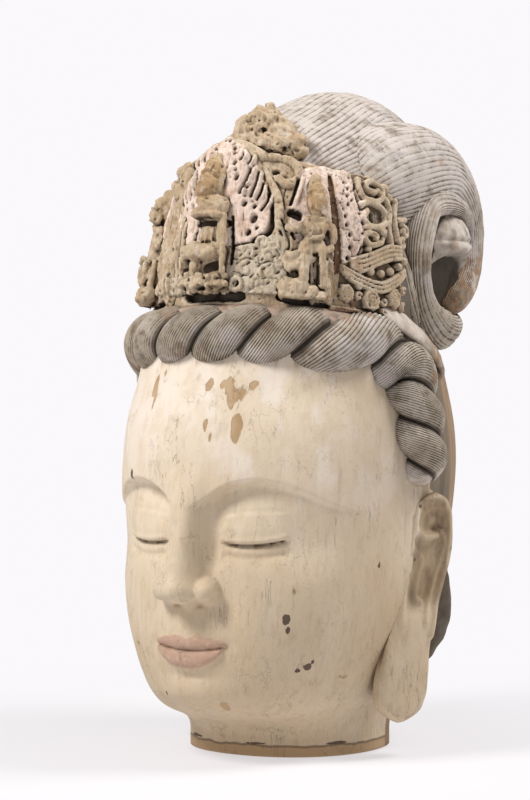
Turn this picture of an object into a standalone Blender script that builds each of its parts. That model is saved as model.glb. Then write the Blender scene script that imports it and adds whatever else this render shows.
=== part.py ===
# Bodhisattva head of carved, gessoed and painted wood, in three joined blocks:
# the head with its ears and twisted hair roll, the crown, and the topknot.
# Metres, +Z up. The face looks along -Y; the origin is the middle of the neck's underside.

import math

import bmesh
import bpy
import numpy as np
from mathutils import Matrix

# Head block
FACE_HEIGHT = 0.310  # chin to hairline
CHIN_LEVEL = 0.035  # chin's underside above the floor
NECK_RADIUS = 0.088
FACE_HALF_WIDTH = 0.136
FACE_DEPTH = 0.167  # neck axis to forehead
BACK_DEPTH = 0.181  # neck axis to the back of the skull
HAIR_BAND = 0.032  # hairline to the crown's seat, at the neck axis

# Hair roll round the forehead
ROLL_RADIUS = 0.025
ROLL_LOBE_PITCH = 0.062
ROLL_STAND = 0.003  # face's widest line out to the roll's centreline
ROLL_SINK = 0.035  # forehead in to the roll's centreline
ROLL_HALF_WIDTH = FACE_HALF_WIDTH + ROLL_STAND
ROLL_DEPTH = FACE_DEPTH - ROLL_SINK

# Ears
EAR_HEIGHT = 0.206
EAR_WIDTH = 0.057
EAR_THICKNESS = 0.018
EAR_STAND = 0.007  # how far the ear's middle stands out from the face's widest line
EAR_BACK = 0.009  # neck axis to the ear's middle, towards the back

# Ribbon end on each side of the skull
RIBBON_WIDTH = 0.024
RIBBON_THICKNESS = 0.010

# Joint between the head block and what stands on it
SEAT_LEVEL = CHIN_LEVEL + FACE_HEIGHT + HAIR_BAND  # at the neck axis
SEAT_SLOPE = 0.13  # fall towards the back
STEP_DROP = 0.021  # lower seat of the topknot, behind the crown
STEP_START = 0.030
STEP_LEVEL = SEAT_LEVEL - STEP_DROP
JOINT_GAP = 0.0003

# Dome of hair that carries the crown
DOME_INSET_SIDE = 0.027  # face's widest line to the dome's side
DOME_INSET_FRONT = 0.047  # forehead to the dome's front
DOME_HALF_WIDTH = FACE_HALF_WIDTH - DOME_INSET_SIDE
DOME_DEPTH = FACE_DEPTH - DOME_INSET_FRONT
DOME_HEIGHT = 0.165
DOME_LIFT = 0.023  # the dome's widest section above the seat
DOME_LEVEL = SEAT_LEVEL + DOME_LIFT

# Crown
CROWN_WALL = 0.007
CROWN_RELIEF = 0.010  # how far the carving stands out from the wall
CROWN_REACH = math.radians(95)  # how far the crown runs round from the front
CROWN_HEIGHT = 0.157  # seat at the neck axis to the crown's top at the front
CROWN_FALL = 0.028  # how much lower the crown is at its ends
CROWN_TOP = SEAT_LEVEL + CROWN_HEIGHT
CROWN_RADIUS = (DOME_HALF_WIDTH + DOME_DEPTH) / 2 + CROWN_WALL + CROWN_RELIEF
CROWN_ROOM = 0.045  # depth of the space kept clear for the crown
CENTRE_FIGURE = 0.122
SIDE_FIGURE = 0.110
SIDE_FIGURE_ANGLE = math.radians(41)
CLOUD_ANGLE = math.radians(22)
PANEL_ANGLE = math.radians(74)
FIGURE_LEAN = 0.09  # how much further a figure stands out from the wall as it rises

# Topknot
KNOT_HALF_WIDTH = 0.115
KNOT_HALF_DEPTH = 0.104
KNOT_HALF_HEIGHT = 0.118
KNOT_BACK = 0.091  # neck axis to the middle of the topknot
KNOT_RISE = 0.083  # the crown's seat to the middle of the topknot
KNOT_LEVEL = SEAT_LEVEL + KNOT_RISE

# Mesh fineness
HEAD_FACES = 4250
CROWN_FACES = 2700
KNOT_FACES = 1600
HEAD_VOXEL = 0.0026
CROWN_VOXEL = 0.0020
KNOT_VOXEL = 0.0026

MATERIALS = {
    "head": ("gesso", (0.62, 0.52, 0.38), 0.65),
    "crown": ("crown_paint", (0.47, 0.38, 0.27), 0.85),
    "topknot": ("hair_paint", (0.36, 0.33, 0.29), 0.85),
}


# Shared helpers


def clear_scene():
    for obj in list(bpy.data.objects):
        bpy.data.objects.remove(obj)


def select_only(obj):
    bpy.ops.object.select_all(action="DESELECT")
    obj.select_set(True)
    bpy.context.view_layer.objects.active = obj


def points_of(obj):
    points = np.empty(len(obj.data.vertices) * 3)
    obj.data.vertices.foreach_get("co", points)
    return points.reshape(-1, 3)


def set_points(obj, points):
    obj.data.vertices.foreach_set("co", np.asarray(points, float).ravel())
    obj.data.update()
    face_outwards(obj)


def face_outwards(obj):
    mesh = bmesh.new()
    mesh.from_mesh(obj.data)
    if mesh.calc_volume(signed=True) < 0:
        bmesh.ops.reverse_faces(mesh, faces=mesh.faces)
    mesh.to_mesh(obj.data)
    mesh.free()


def apply_modifier(obj, kind, **settings):
    select_only(obj)
    modifier = obj.modifiers.new(kind.title(), kind)
    for name, value in settings.items():
        setattr(modifier, name, value)
    bpy.ops.object.modifier_apply(modifier=modifier.name)


def boolean(obj, other, operation):
    apply_modifier(obj, "BOOLEAN", operation=operation, object=other)
    bpy.data.objects.remove(other)


def fuse(objects, name, voxel, faces):
    """One closed skin round overlapping solids, thinned to about that many triangles."""
    select_only(objects[0])
    for obj in objects:
        obj.select_set(True)
    bpy.ops.object.join()
    obj = objects[0]
    obj.name = name
    apply_modifier(obj, "REMESH", mode="VOXEL", voxel_size=voxel)
    apply_modifier(obj, "SMOOTH", factor=0.5, iterations=1)
    apply_modifier(obj, "TRIANGULATE")
    apply_modifier(obj, "DECIMATE", ratio=min(1.0, faces / len(obj.data.polygons)))
    return obj


def curve_through(t, knots):
    """Smooth curve through (t, value...) knots, flat beyond the ends."""
    x = np.array([knot[0] for knot in knots], float)
    y = np.array([knot[1:] for knot in knots], float)
    slope = np.gradient(y, x, axis=0)
    t = np.clip(np.asarray(t, float), x[0], x[-1])
    i = np.clip(np.searchsorted(x, t) - 1, 0, len(x) - 2)
    h = (x[i + 1] - x[i])[..., None]
    s = (t - x[i])[..., None] / h
    value = (
        (2 * s**3 - 3 * s**2 + 1) * y[i]
        + (s**3 - 2 * s**2 + s) * h * slope[i]
        + (3 * s**2 - 2 * s**3) * y[i + 1]
        + (s**3 - s**2) * h * slope[i + 1]
    )
    return value[..., 0] if y.shape[1] == 1 else value


def spaced(points):
    """The points as knots for curve_through, spaced by the distance between them."""
    points = np.array(points, float)
    gaps = np.linalg.norm(np.diff(points[:, :3], axis=0), axis=1)
    along = np.concatenate([[0], np.cumsum(gaps)]) / gaps.sum()
    return [(t, *point) for t, point in zip(along, points)]


def step(value, low, high):
    t = np.clip((value - low) / (high - low), 0, 1)
    return t * t * (3 - 2 * t)


def lump(x, v, cx, cv, wx, wv):
    return np.exp(-(((x - cx) / wx) ** 2) - ((v - cv) / wv) ** 2)


def smooth_max(a, b, k):
    h = np.clip(0.5 + 0.5 * (a - b) / k, 0, 1)
    return b + (a - b) * h + k * h * (1 - h) * step(np.maximum(a, b), 0, k)


def unit(vectors):
    return vectors / np.maximum(np.linalg.norm(vectors, axis=-1, keepdims=True), 1e-12)


def sphere(name, segments, rings, cuts=0):
    """A unit sphere, with each point's share of the way up and its angle round from the front."""
    bpy.ops.mesh.primitive_uv_sphere_add(segments=segments, ring_count=rings, radius=1)
    obj = bpy.context.active_object
    obj.name = name
    if cuts:
        bpy.ops.object.mode_set(mode="EDIT")
        bpy.ops.mesh.select_all(action="SELECT")
        bpy.ops.mesh.subdivide(number_cuts=cuts)
        bpy.ops.object.mode_set(mode="OBJECT")
    p = unit(points_of(obj))
    along = np.arcsin(np.clip(p[:, 2], -1, 1)) / math.pi + 0.5
    around = np.arctan2(p[:, 0], -p[:, 1])
    return obj, along, around


def slab(name, cuts):
    """A cube from -1 to 1 with its faces divided."""
    bpy.ops.mesh.primitive_cube_add(size=2)
    obj = bpy.context.active_object
    obj.name = name
    bpy.ops.object.mode_set(mode="EDIT")
    bpy.ops.mesh.select_all(action="SELECT")
    bpy.ops.mesh.subdivide(number_cuts=cuts)
    bpy.ops.object.mode_set(mode="OBJECT")
    return obj


def sweep(name, path, outward, section, segments=20, rings=24, place=None, tip=6):
    """A closed tube along path(s), s from 0 to 1; section(s, angle) gives its two half-extents.

    Angle 0 looks along outward(s)."""
    obj, s, angle = sphere(name, segments, rings)
    closing = np.sqrt(np.clip(1 - np.abs(2 * s - 1) ** tip, 0, 1))
    centre = path(s)
    tangent = unit(path(np.minimum(s + 0.01, 1)) - path(np.maximum(s - 0.01, 0)))
    normal = outward(s)
    normal = unit(normal - tangent * (normal * tangent).sum(1, keepdims=True))
    side = np.cross(tangent, normal)
    out, across = section(s, angle)
    points = (
        centre
        + normal * (np.cos(angle) * out * closing)[:, None]
        + side * (np.sin(angle) * across * closing)[:, None]
    )
    set_points(obj, points if place is None else place(points))
    return obj


def ball(name, centre, size, place=None, segments=16, rings=10):
    obj, along, around = sphere(name, segments, rings)
    points = points_of(obj) * np.array(size) + np.array(centre)
    set_points(obj, points if place is None else place(points))
    return obj


def tube(name, points, radii, place=None, segments=10, rings=16):
    """A round rod through the points, its radius running through the radii."""
    knots = spaced([(*p, 0) for p in points])
    stops = np.linspace(0, 1, len(radii))
    thickness = [(t, r) for t, r in zip(stops, radii)]

    def section(s, angle):
        radius = curve_through(s, thickness)
        return radius, radius

    return sweep(
        name, lambda s: curve_through(s, knots)[:, :3], lambda s: np.tile([0.03, 0.02, 1.0], (len(s), 1)),
        section, segments, rings, place, tip=8,
    )


# Head block


def head_section(v):
    """Half width, front depth and back depth at height v, in face heights above the chin."""
    width = curve_through(
        v,
        [(-0.05, 0.66), (0.0, 0.70), (0.04, 0.76), (0.10, 0.82), (0.20, 0.89), (0.34, 0.955),
         (0.50, 0.99), (0.66, 1.0), (0.82, 0.98), (0.98, 0.92), (1.10, 0.90), (1.20, 0.90)],
    )
    front = curve_through(
        v,
        [(-0.05, 0.56), (0.0, 0.70), (0.03, 0.82), (0.07, 0.90), (0.12, 0.94), (0.21, 0.965),
         (0.34, 0.98), (0.50, 0.99), (0.66, 1.01), (0.82, 0.975), (0.98, 0.86), (1.20, 0.80)],
    )
    back = curve_through(
        v,
        [(-0.05, 0.52), (0.0, 0.66), (0.05, 0.80), (0.12, 0.845), (0.40, 0.86), (0.50, 0.885),
         (0.60, 0.95), (0.70, 1.0), (0.90, 0.97), (1.05, 0.88), (1.20, 0.78)],
    )
    neck = 1 - step(v, -0.065, 0.02)
    return (
        FACE_HALF_WIDTH * width * (1 - neck) + NECK_RADIUS * neck,
        FACE_DEPTH * front * (1 - neck) + NECK_RADIUS * neck,
        BACK_DEPTH * back * (1 - neck) + NECK_RADIUS * neck,
    )


def eye_relief(x, v):
    """Sockets under a crisp brow edge, the swell of the lids and the slit between them."""
    brow = curve_through(
        x, [(0.0, 0.60), (0.04, 0.610), (0.10, 0.652), (0.19, 0.678), (0.28, 0.655), (0.36, 0.600),
            (0.42, 0.565)]
    )
    t = np.clip((x - 0.088) / 0.187, 0, 1)
    window = np.sin(math.pi * t)
    slit = 0.502 - 0.012 * window + 0.010 * t
    depth = curve_through(
        x, [(0.0, 0.0), (0.025, 0.003), (0.060, 0.034), (0.10, 0.045), (0.19, 0.038), (0.28, 0.024),
            (0.35, 0.008), (0.40, 0.0)]
    )
    swell = np.exp(-(((x - 0.180) / 0.100) ** 4))
    down = (brow - v) / (brow - slit)
    above = step(down, 0.0, 0.17) * (1 - 0.78 * swell * step(down, 0.14, 0.85))
    below = (1 - 0.78 * swell) * (1 - step(slit - v, 0.0, 0.13))
    relief = -depth * np.where(down < 1, above, below)
    shape = step(window, 0.0, 0.35)
    relief -= 0.011 * shape * (down >= 1) * (1 - step(slit - v, 0.01, 0.075))
    relief += 0.0045 * lump(0, v, 0, slit - 0.018, 1, 0.009) * shape
    relief -= 0.0045 * lump(0, v, 0, slit - 0.036, 1, 0.008) * shape
    relief += 0.0040 * lump(0, v, 0, slit + 0.010, 1, 0.008) * shape
    relief -= 0.0035 * lump(0, down, 0, 0.50, 1, 0.05) * shape
    relief -= 0.014 * np.clip(1 - np.abs(v - slit) / (0.004 + 0.004 * window), 0, 1) * shape
    return relief


def nose_relief(x, v):
    ridge = curve_through(
        v,
        [(0.30, 0), (0.325, 0.0), (0.345, 0.070), (0.37, 0.096), (0.42, 0.083), (0.50, 0.063),
         (0.58, 0.041), (0.64, 0.022), (0.70, 0.006), (0.76, 0)],
    )
    half = curve_through(
        v, [(0.30, 0.05), (0.37, 0.050), (0.42, 0.043), (0.50, 0.040), (0.60, 0.046), (0.76, 0.07)]
    )
    nose = ridge * np.exp(-0.8 * (x / half) ** 2.6)
    under = step(v, 0.322 + 0.10 * x, 0.342 + 0.10 * x)
    tip = 1 - (x / 0.052) ** 2 - ((v - 0.374) / 0.048) ** 2
    wing = 1 - ((x - 0.060) / 0.036) ** 2 - ((v - 0.371) / 0.040) ** 2
    nose = smooth_max(nose, 0.100 * np.sqrt(np.maximum(tip, 0)), 0.012)
    nose = smooth_max(nose, 0.058 * np.sqrt(np.maximum(wing, 0)), 0.010)
    return nose * under - 0.016 * lump(x, v, 0.036, 0.338, 0.013, 0.009)


def mouth_relief(x, v):
    relief = 0.018 * lump(x, v, 0, 0.215, 0.135, 0.085)
    line = 0.209 + 0.013 * (x / 0.110) ** 2
    arch = np.sqrt(np.clip(1 - (x / 0.113) ** 2, 0, 1))
    upper = line + 0.043 * arch**1.3 - 0.009 * np.exp(-((x / 0.018) ** 2))
    lower = line - 0.052 * np.sqrt(np.clip(1 - (x / 0.100) ** 2, 0, 1))
    for border, height in ((upper, 0.019), (lower, 0.022)):
        t = (v - line) / np.where(np.abs(border - line) < 1e-4, 1e-4, border - line)
        inside = (t > 0) & (t < 1)
        t = np.clip(t, 0, 1)
        relief += np.where(inside, height * np.sqrt(t) * (1 - t**5) * arch**0.7, 0)
    relief -= 0.007 * np.exp(-(((v - line) / 0.0045) ** 2)) * step(0.125 - x, 0, 0.03)
    relief -= 0.006 * lump(x, v, 0.117, 0.224, 0.018, 0.018)
    relief -= 0.005 * np.exp(-((x / 0.013) ** 2)) * step(v, 0.25, 0.27) * (1 - step(v, 0.31, 0.33))
    relief -= 0.012 * lump(x, v, 0, 0.138, 0.075, 0.018)
    relief += 0.026 * lump(x, v, 0, 0.083, 0.105, 0.062)
    return relief


def face_relief(x, v):
    """Height of the face's carving over the block, all in face heights."""
    x = np.abs(x)
    relief = eye_relief(x, v) + nose_relief(x, v) + mouth_relief(x, v)
    relief += 0.014 * lump(x, v, 0.225, 0.30, 0.13, 0.14)
    relief -= 0.008 * lump(x, v, 0.115, 0.320, 0.030, 0.060)
    return relief


def head_shell(cuts):
    """Neck, face and skull as one sphere drawn out into the head's sections."""
    obj, along, around = sphere("head", 64, 64, cuts)
    around = around - 0.30 * np.sin(around)
    cap = 0.05
    bottom = -0.015
    top = CHIN_LEVEL + 1.30 * FACE_HEIGHT
    z = bottom + (top - bottom) * np.clip((along - cap) / (1 - 2 * cap), 0, 1)
    v = (z - CHIN_LEVEL) / FACE_HEIGHT
    jaw = 0.035 * step(np.abs(around), 0.5, 1.5) * (1 - step(v, 0.12, 0.42)) * step(v, -0.05, 0.03)
    disc = np.sqrt(np.clip(along / cap, 0, 1)) * np.sqrt(np.clip((1 - along) / cap, 0, 1))
    width, front, back = head_section(v - jaw)
    depth = np.where(np.cos(around) > 0, front, back)
    squareness = 0.93
    x = width * np.sign(np.sin(around)) * np.abs(np.sin(around)) ** squareness
    y = -depth * np.sign(np.cos(around)) * np.abs(np.cos(around)) ** squareness
    relief = face_relief(x / FACE_HEIGHT, v) * FACE_HEIGHT * step(np.cos(around), 0.05, 0.35)
    normal = unit(np.stack([np.sin(around) / width, -np.cos(around) / depth], 1))
    set_points(
        obj,
        np.stack([(x + relief * normal[:, 0]) * disc, (y + relief * normal[:, 1]) * disc, z], 1),
    )
    return obj


def roll_path(s):
    """Centreline of the hair roll, from the right ear over the forehead to the left ear."""
    half = [(0, -1, 1.066), (0.315, -0.927, 1.063), (0.60, -0.68, 1.045), (0.777, -0.265, 0.996),
            (0.878, -0.126, 0.928), (0.957, -0.095, 0.832), (1.0, -0.022, 0.649)]
    whole = [(-x, y, level) for x, y, level in reversed(half[1:])] + half
    size = np.array([ROLL_HALF_WIDTH, ROLL_DEPTH, FACE_HEIGHT])
    return curve_through(s, spaced(np.array(whole) * size)) + np.array([0, 0, CHIN_LEVEL])


def roll_turn(reach):
    """The strands' turn round the roll; the first lobe on each side of the middle is short."""
    points = roll_path(np.linspace(0.5, 1, 60))
    length = np.linalg.norm(np.diff(points, axis=0), axis=1).sum()
    lobes = reach * length / ROLL_LOBE_PITCH
    return math.pi * (lobes + 0.6 * (1 - np.exp(-2.5 * lobes)))


def hair_roll(segments, rings):
    """A rope of two strands, twisted away from the forehead on both sides."""

    def section(s, angle):
        reach = np.abs(2 * s - 1)
        phase = angle * np.sign(2 * s - 1) + roll_turn(reach)
        size = ROLL_RADIUS * (0.70 + 0.34 * np.abs(np.cos(phase)) ** 0.6)
        size = size * curve_through(
            reach, [(0, 1.0), (0.16, 1.04), (0.36, 1.08), (0.55, 1.26), (0.67, 1.15), (0.80, 1.0), (1, 0.95)]
        )
        return size, size

    def outward(s):
        p = roll_path(s)
        return np.stack([p[:, 0], p[:, 1], 0 * s], 1)

    return sweep("hair_roll", roll_path, outward, section, segments, rings)


def ear(side):
    """One ear: a long band leaning forward, its lobe full and round, with the rim, the hollow,
    the inner fold and the front edge on its upper half."""
    top = CHIN_LEVEL + FACE_HEIGHT * 0.625
    turn = math.radians(20)

    def place(p):
        """From shares of the ear (back, down, out) to the head."""
        back, down, out = p[:, 0] * EAR_WIDTH, p[:, 1], p[:, 2] * EAR_THICKNESS
        middle = FACE_HALF_WIDTH + EAR_STAND
        x = middle + out * math.cos(turn) + back * math.sin(turn) - 0.10 * EAR_HEIGHT * down
        y = EAR_BACK + back * math.cos(turn) - out * math.sin(turn) - 0.12 * EAR_HEIGHT * down
        return np.stack([side * x, y, top - EAR_HEIGHT * down], 1)

    def fold(name, points, radius):
        """A raised edge on the ear, its radius in metres."""
        knots = spaced(points)
        scale = np.array([EAR_WIDTH, EAR_HEIGHT, EAR_THICKNESS])
        return sweep(
            name, lambda s: curve_through(s, knots) * scale,
            lambda s: np.tile([0.0, 0.0, 1.0], (len(s), 1)),
            lambda s, a: (np.full_like(s, radius), np.full_like(s, radius)), 10, 30,
            lambda p: place(p / scale), 8,
        )

    return [
        ball("ear_plate", (0.0, 0.26, -0.75), (0.49, 0.27, 1.05), place, 20, 14),
        ball("ear_middle", (-0.04, 0.54, -0.55), (0.50, 0.32, 0.95), place, 20, 14),
        ball("ear_lobe", (-0.04, 0.77, -0.25), (0.56, 0.235, 0.90), place, 20, 14),
        fold("rim", [(-0.26, 0.22, 0.1), (-0.34, 0.10, 0.3), (-0.06, 0.01, 0.4), (0.34, 0.03, 0.4),
                     (0.48, 0.15, 0.3), (0.46, 0.34, 0.2), (0.42, 0.50, 0.1), (0.36, 0.66, 0.1)], 0.0058),
        fold("inner_fold", [(-0.16, 0.13, 0.0), (0.0, 0.20, 0.2), (0.20, 0.17, 0.3), (0.20, 0.30, 0.2),
                            (0.10, 0.44, 0.1), (0.02, 0.58, 0.1)], 0.0048),
        fold("front_edge", [(-0.40, 0.24, -0.2), (-0.32, 0.36, 0.1), (-0.30, 0.50, 0.1),
                            (-0.22, 0.62, 0.1)], 0.0060),
    ]


def ribbon(side):
    """Broken end of the crown's tie, lying on the side of the skull."""
    shares = [(0.92, -0.06, 0.83), (0.93, 0.10, 0.44), (0.90, 0.32, -0.18), (0.79, 0.56, -1.05)]
    knots = spaced(
        [(side * x * FACE_HALF_WIDTH, y * BACK_DEPTH, STEP_LEVEL + z * RIBBON_WIDTH) for x, y, z in shares]
    )
    return sweep(
        "ribbon", lambda s: curve_through(s, knots),
        lambda s: np.tile([side * 0.8, 0.3, 0.5], (len(s), 1)),
        lambda s, a: (np.full_like(s, RIBBON_THICKNESS / 2), np.full_like(s, RIBBON_WIDTH / 2)), 12, 20,
    )


# Joint faces


def block(low, high, turn=None):
    """A box between two corners, turned about the joint's level at the neck axis."""
    low, high = np.array(low, float), np.array(high, float)
    obj = slab("block", 0)
    points = low + (points_of(obj) + 1) / 2 * (high - low)
    if turn is not None:
        points = points @ np.array(Matrix.Rotation(turn, 3, "X")).T
        points[:, 2] += SEAT_LEVEL
    set_points(obj, points)
    return obj


def cut_seat_in_head(head):
    tilt = -math.atan(SEAT_SLOPE)
    boolean(head, block((-1, -1, 0), (1, 1, 1), tilt), "DIFFERENCE")
    boolean(head, block((-1, STEP_START, STEP_LEVEL), (1, 1, 1)), "DIFFERENCE")


def cut_underside(obj, steps):
    """Trim a block to stand on the head's seat, the joint's gap above it."""
    tilt = -math.atan(SEAT_SLOPE)
    if not steps:
        boolean(obj, block((-1, -1, -1), (1, 1, JOINT_GAP), tilt), "DIFFERENCE")
        return
    boolean(obj, block((-1, -1, -1), (1, 1, STEP_LEVEL + JOINT_GAP)), "DIFFERENCE")
    front = block((-1, -1, -1), (1, 1, JOINT_GAP), tilt)
    boolean(front, block((-2, STEP_START + JOINT_GAP, -2), (2, 2, 2)), "DIFFERENCE")
    boolean(obj, front, "DIFFERENCE")


# Crown


def seat_height(y):
    return SEAT_LEVEL - SEAT_SLOPE * y


def dome_point(theta, rise, out):
    """Point on the dome at an angle round and an angle up, a distance outside it."""
    a, b, c = DOME_HALF_WIDTH, DOME_DEPTH, DOME_HEIGHT
    flat = np.stack(
        [a * np.cos(rise) * np.sin(theta), -b * np.cos(rise) * np.cos(theta), c * np.sin(rise)], 1
    )
    normal = unit(flat / np.array([a * a, b * b, c * c]))
    return flat + normal * out[:, None] + np.array([0, 0, DOME_LEVEL])


def base_rise(theta):
    height = seat_height(-DOME_DEPTH * np.cos(theta))
    return np.arcsin((height - DOME_LEVEL) / DOME_HEIGHT)


def top_rise(theta):
    height = CROWN_TOP - CROWN_FALL * (np.abs(theta) / CROWN_REACH) ** 1.3
    return np.arcsin((height - DOME_LEVEL) / DOME_HEIGHT)


def crown_place(theta, lean=0.0):
    """Maps (along, up, out) beside a vertical line on the crown to the crown's wall.

    The lean brings what stands on the crown's base out from the wall as it rises."""

    def place(p):
        rise = base_rise(np.full(len(p), theta)) + p[:, 1] / (DOME_HEIGHT * 1.03)
        turn = theta + p[:, 0] / (CROWN_RADIUS * np.cos(np.clip(rise, -1, 1.1)))
        return dome_point(turn, rise, CROWN_WALL + p[:, 2] + lean * np.maximum(p[:, 1], 0))

    return place


def crown_band(name, cuts, inner, outer, low, high, reach):
    """A slice of the crown's wall between two depths and two edges."""
    obj = slab(name, cuts)
    p = points_of(obj)
    theta = p[:, 0] * reach
    bottom = base_rise(theta) + low
    share = (p[:, 2] + 1) / 2
    top = bottom + high if high is not None else top_rise(theta)
    rise = bottom + (top - bottom) * share
    set_points(obj, dome_point(theta, rise, inner + (outer - inner) * (p[:, 1] + 1) / 2))
    return obj


def crown_space(inset):
    """The room the crown takes beside the dome, made smaller on every side by the inset."""
    obj = slab("crown_space", 15)
    p = points_of(obj)
    edge = inset / DOME_DEPTH
    theta = p[:, 0] * (CROWN_REACH - edge)
    bottom = base_rise(theta) - 0.15
    rise = bottom + (top_rise(theta) - edge - bottom) * (p[:, 2] + 1) / 2
    set_points(obj, dome_point(theta, rise, inset + (CROWN_ROOM - inset) * (p[:, 1] + 1) / 2))
    return obj


def on_crown(theta, size, lean=0.0):
    """Makes balls and rods at shares of a size, beside a vertical line on the crown."""
    place = crown_place(theta, lean)

    def put(name, centre, extents):
        return ball(name, np.array(centre) * size, np.array(extents) * size, place)

    def rod(name, points, radii, segments=8, rings=16):
        return tube(name, np.array(points) * size, np.array(radii) * size, place, segments, rings)

    return put, rod


def centre_figure(theta, height):
    """Robed figure with long sleeves on a lotus."""
    put, rod = on_crown(theta, height, FIGURE_LEAN)
    parts = [
        put("back", (0, 0.49, -0.05), (0.14, 0.46, 0.08)),
        put("lotus", (0, 0.08, 0.025), (0.22, 0.09, 0.11)),
        put("robe", (0, 0.33, 0.016), (0.155, 0.28, 0.08)),
        put("chest", (0, 0.655, 0.025), (0.14, 0.20, 0.08)),
        put("shoulders", (0, 0.745, 0.016), (0.17, 0.09, 0.065)),
        put("head", (0, 0.89, 0.04), (0.078, 0.115, 0.08)),
    ]
    for side in (-1, 1):
        parts += [
            put("knee", (side * 0.08, 0.38, 0.065), (0.065, 0.105, 0.055)),
            put("petal", (side * 0.13, 0.075, 0.10), (0.074, 0.065, 0.05)),
            rod("sleeve", [(side * 0.155, 0.745, 0.025), (side * 0.205, 0.54, 0.05),
                           (side * 0.19, 0.33, 0.05), (side * 0.205, 0.115, 0.025)],
                [0.05, 0.058, 0.05, 0.04]),
            rod("forearm", [(side * 0.18, 0.57, 0.065), (side * 0.05, 0.54, 0.115)], [0.04, 0.04]),
        ]
    return parts


def side_figure(theta, height):
    """Standing figure with a belt, bent arms and a scarf down each side."""
    put, rod = on_crown(theta, height, FIGURE_LEAN)
    parts = [
        put("back", (0, 0.50, -0.055), (0.12, 0.44, 0.09)),
        put("base", (0, 0.065, 0.027), (0.20, 0.073, 0.11)),
        put("skirt", (0, 0.42, 0.027), (0.136, 0.145, 0.09)),
        put("torso", (0, 0.635, 0.027), (0.11, 0.173, 0.09)),
        put("shoulders", (0, 0.745, 0.018), (0.155, 0.073, 0.073)),
        put("head", (0, 0.885, 0.045), (0.073, 0.10, 0.082)),
        rod("belt", [(-0.127, 0.53, 0.055), (0, 0.50, 0.11), (0.127, 0.53, 0.055)], [0.027, 0.027]),
    ]
    for side in (-1, 1):
        parts += [
            rod("leg", [(side * 0.064, 0.11, 0.064), (side * 0.073, 0.40, 0.064)], [0.059, 0.059]),
            rod("arm", [(side * 0.145, 0.745, 0.027), (side * 0.18, 0.60, 0.055),
                        (side * 0.055, 0.58, 0.118)], [0.041, 0.045, 0.041]),
            rod("scarf", [(side * 0.173, 0.64, 0.027), (side * 0.21, 0.40, 0.018),
                          (side * 0.18, 0.127, 0.018)], [0.036, 0.036, 0.027]),
        ]
    return parts


def mandorla(theta, height, width, flames):
    """Pointed halo behind a figure: two borders with flame tongues leaning up between them."""
    rod = on_crown(theta, height)[1]
    parts = []
    for side in (-1, 1):
        edge = [(side * width * 0.80, 0.10, 0.007), (side * width, 0.40, 0.007),
                (side * width * 0.86, 0.72, 0.007), (side * width * 0.10, 1.0, 0.007)]
        inner = [(x * 0.60, h * 0.94, d) for x, h, d in edge]
        parts += [rod("border", edge, [0.028, 0.028], 8, 24), rod("border", inner, [0.025, 0.025], 8, 24)]
        knots = spaced(edge)
        for i in range(flames):
            x, h, d = curve_through(np.array([(i + 0.6) / flames]), knots)[0]
            parts.append(
                rod("flame", [(x * 0.66, h * 0.90, 0.007), (x * 0.86, h * 0.96 + 0.014, 0.028),
                              (x * 0.97, h + 0.08, 0.02)], [0.025, 0.028, 0.012], 8, 10)
            )
    return parts


def scroll(rod, x, h, size, start, turn, radius):
    """A C-scroll: a rod wound inwards."""
    t = np.linspace(0, 1, 12)
    angle = start + turn * t
    reach = size * (1 - 0.68 * t)
    points = np.stack([x + reach * np.cos(angle), h + reach * np.sin(angle), 0.013 + 0 * t], 1)
    return rod("scroll", points, [radius, radius * 0.9, radius * 0.7], 8, 26)


def wave(rod, reach, height, swing, count, radius):
    """A wavy cloud band along the crown."""
    x = np.linspace(-reach, reach, 4 * count + 1)
    up = height + swing * np.sin((x / reach + 1) * math.pi * count)
    return rod("cloud", np.stack([x, up, 0.013 + 0 * x], 1), [radius, radius], 8, 10 * count)


def cloud_panel(theta, side):
    """Clouds with scrolls above them, between two figures."""
    rod = on_crown(theta, CROWN_HEIGHT)[1]
    parts = [wave(rod, 0.127, height, 0.026, 1, 0.030) for height in (0.065, 0.165, 0.265)]
    for x, height, start, turn in ((-0.04, 0.40, 0.6, 5), (0.05, 0.56, -1.2, -5), (-0.03, 0.71, 0.6, 5)):
        parts.append(scroll(rod, side * x, height, 0.074, start, side * turn, 0.024))
    return parts


def scroll_panel(theta):
    """The crown's end: a row of rosettes, wavy clouds and pairs of C-scrolls."""
    put, rod = on_crown(theta, CROWN_HEIGHT)
    parts = [wave(rod, 0.20, height, 0.024, 2, 0.025) for height in (0.19, 0.27, 0.34)]
    for x in (-0.15, 0.0, 0.14):
        parts += [scroll(rod, x, 0.09, 0.064, 0.0, 6.0, 0.022),
                  put("boss", (x, 0.09, 0.013), (0.029, 0.029, 0.026))]
    for row, height in enumerate((0.43, 0.57, 0.70)):
        parts += [scroll(rod, -0.095, height, 0.070, 2.5 - row, 5.0, 0.022),
                  scroll(rod, 0.080, height + 0.02, 0.070, 0.6 + row, -5.0, 0.022)]
    return parts


def carved_crown():
    parts = [
        crown_band("wall", 31, -0.004, CROWN_WALL, -0.08, None, CROWN_REACH + 0.02),
        crown_band("ledge", 31, 0.001, CROWN_WALL + 0.004, -0.08, 0.125, CROWN_REACH + 0.02),
    ]
    parts += mandorla(0.0, CROWN_HEIGHT * 0.95, 0.34, 8) + centre_figure(0.0, CENTRE_FIGURE)
    for side in (-1, 1):
        theta = side * SIDE_FIGURE_ANGLE
        parts += mandorla(theta, CROWN_HEIGHT * 0.83, 0.23, 6) + side_figure(theta, SIDE_FIGURE)
        parts += cloud_panel(side * CLOUD_ANGLE, side) + scroll_panel(side * PANEL_ANGLE)
    return parts


# Topknot


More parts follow.
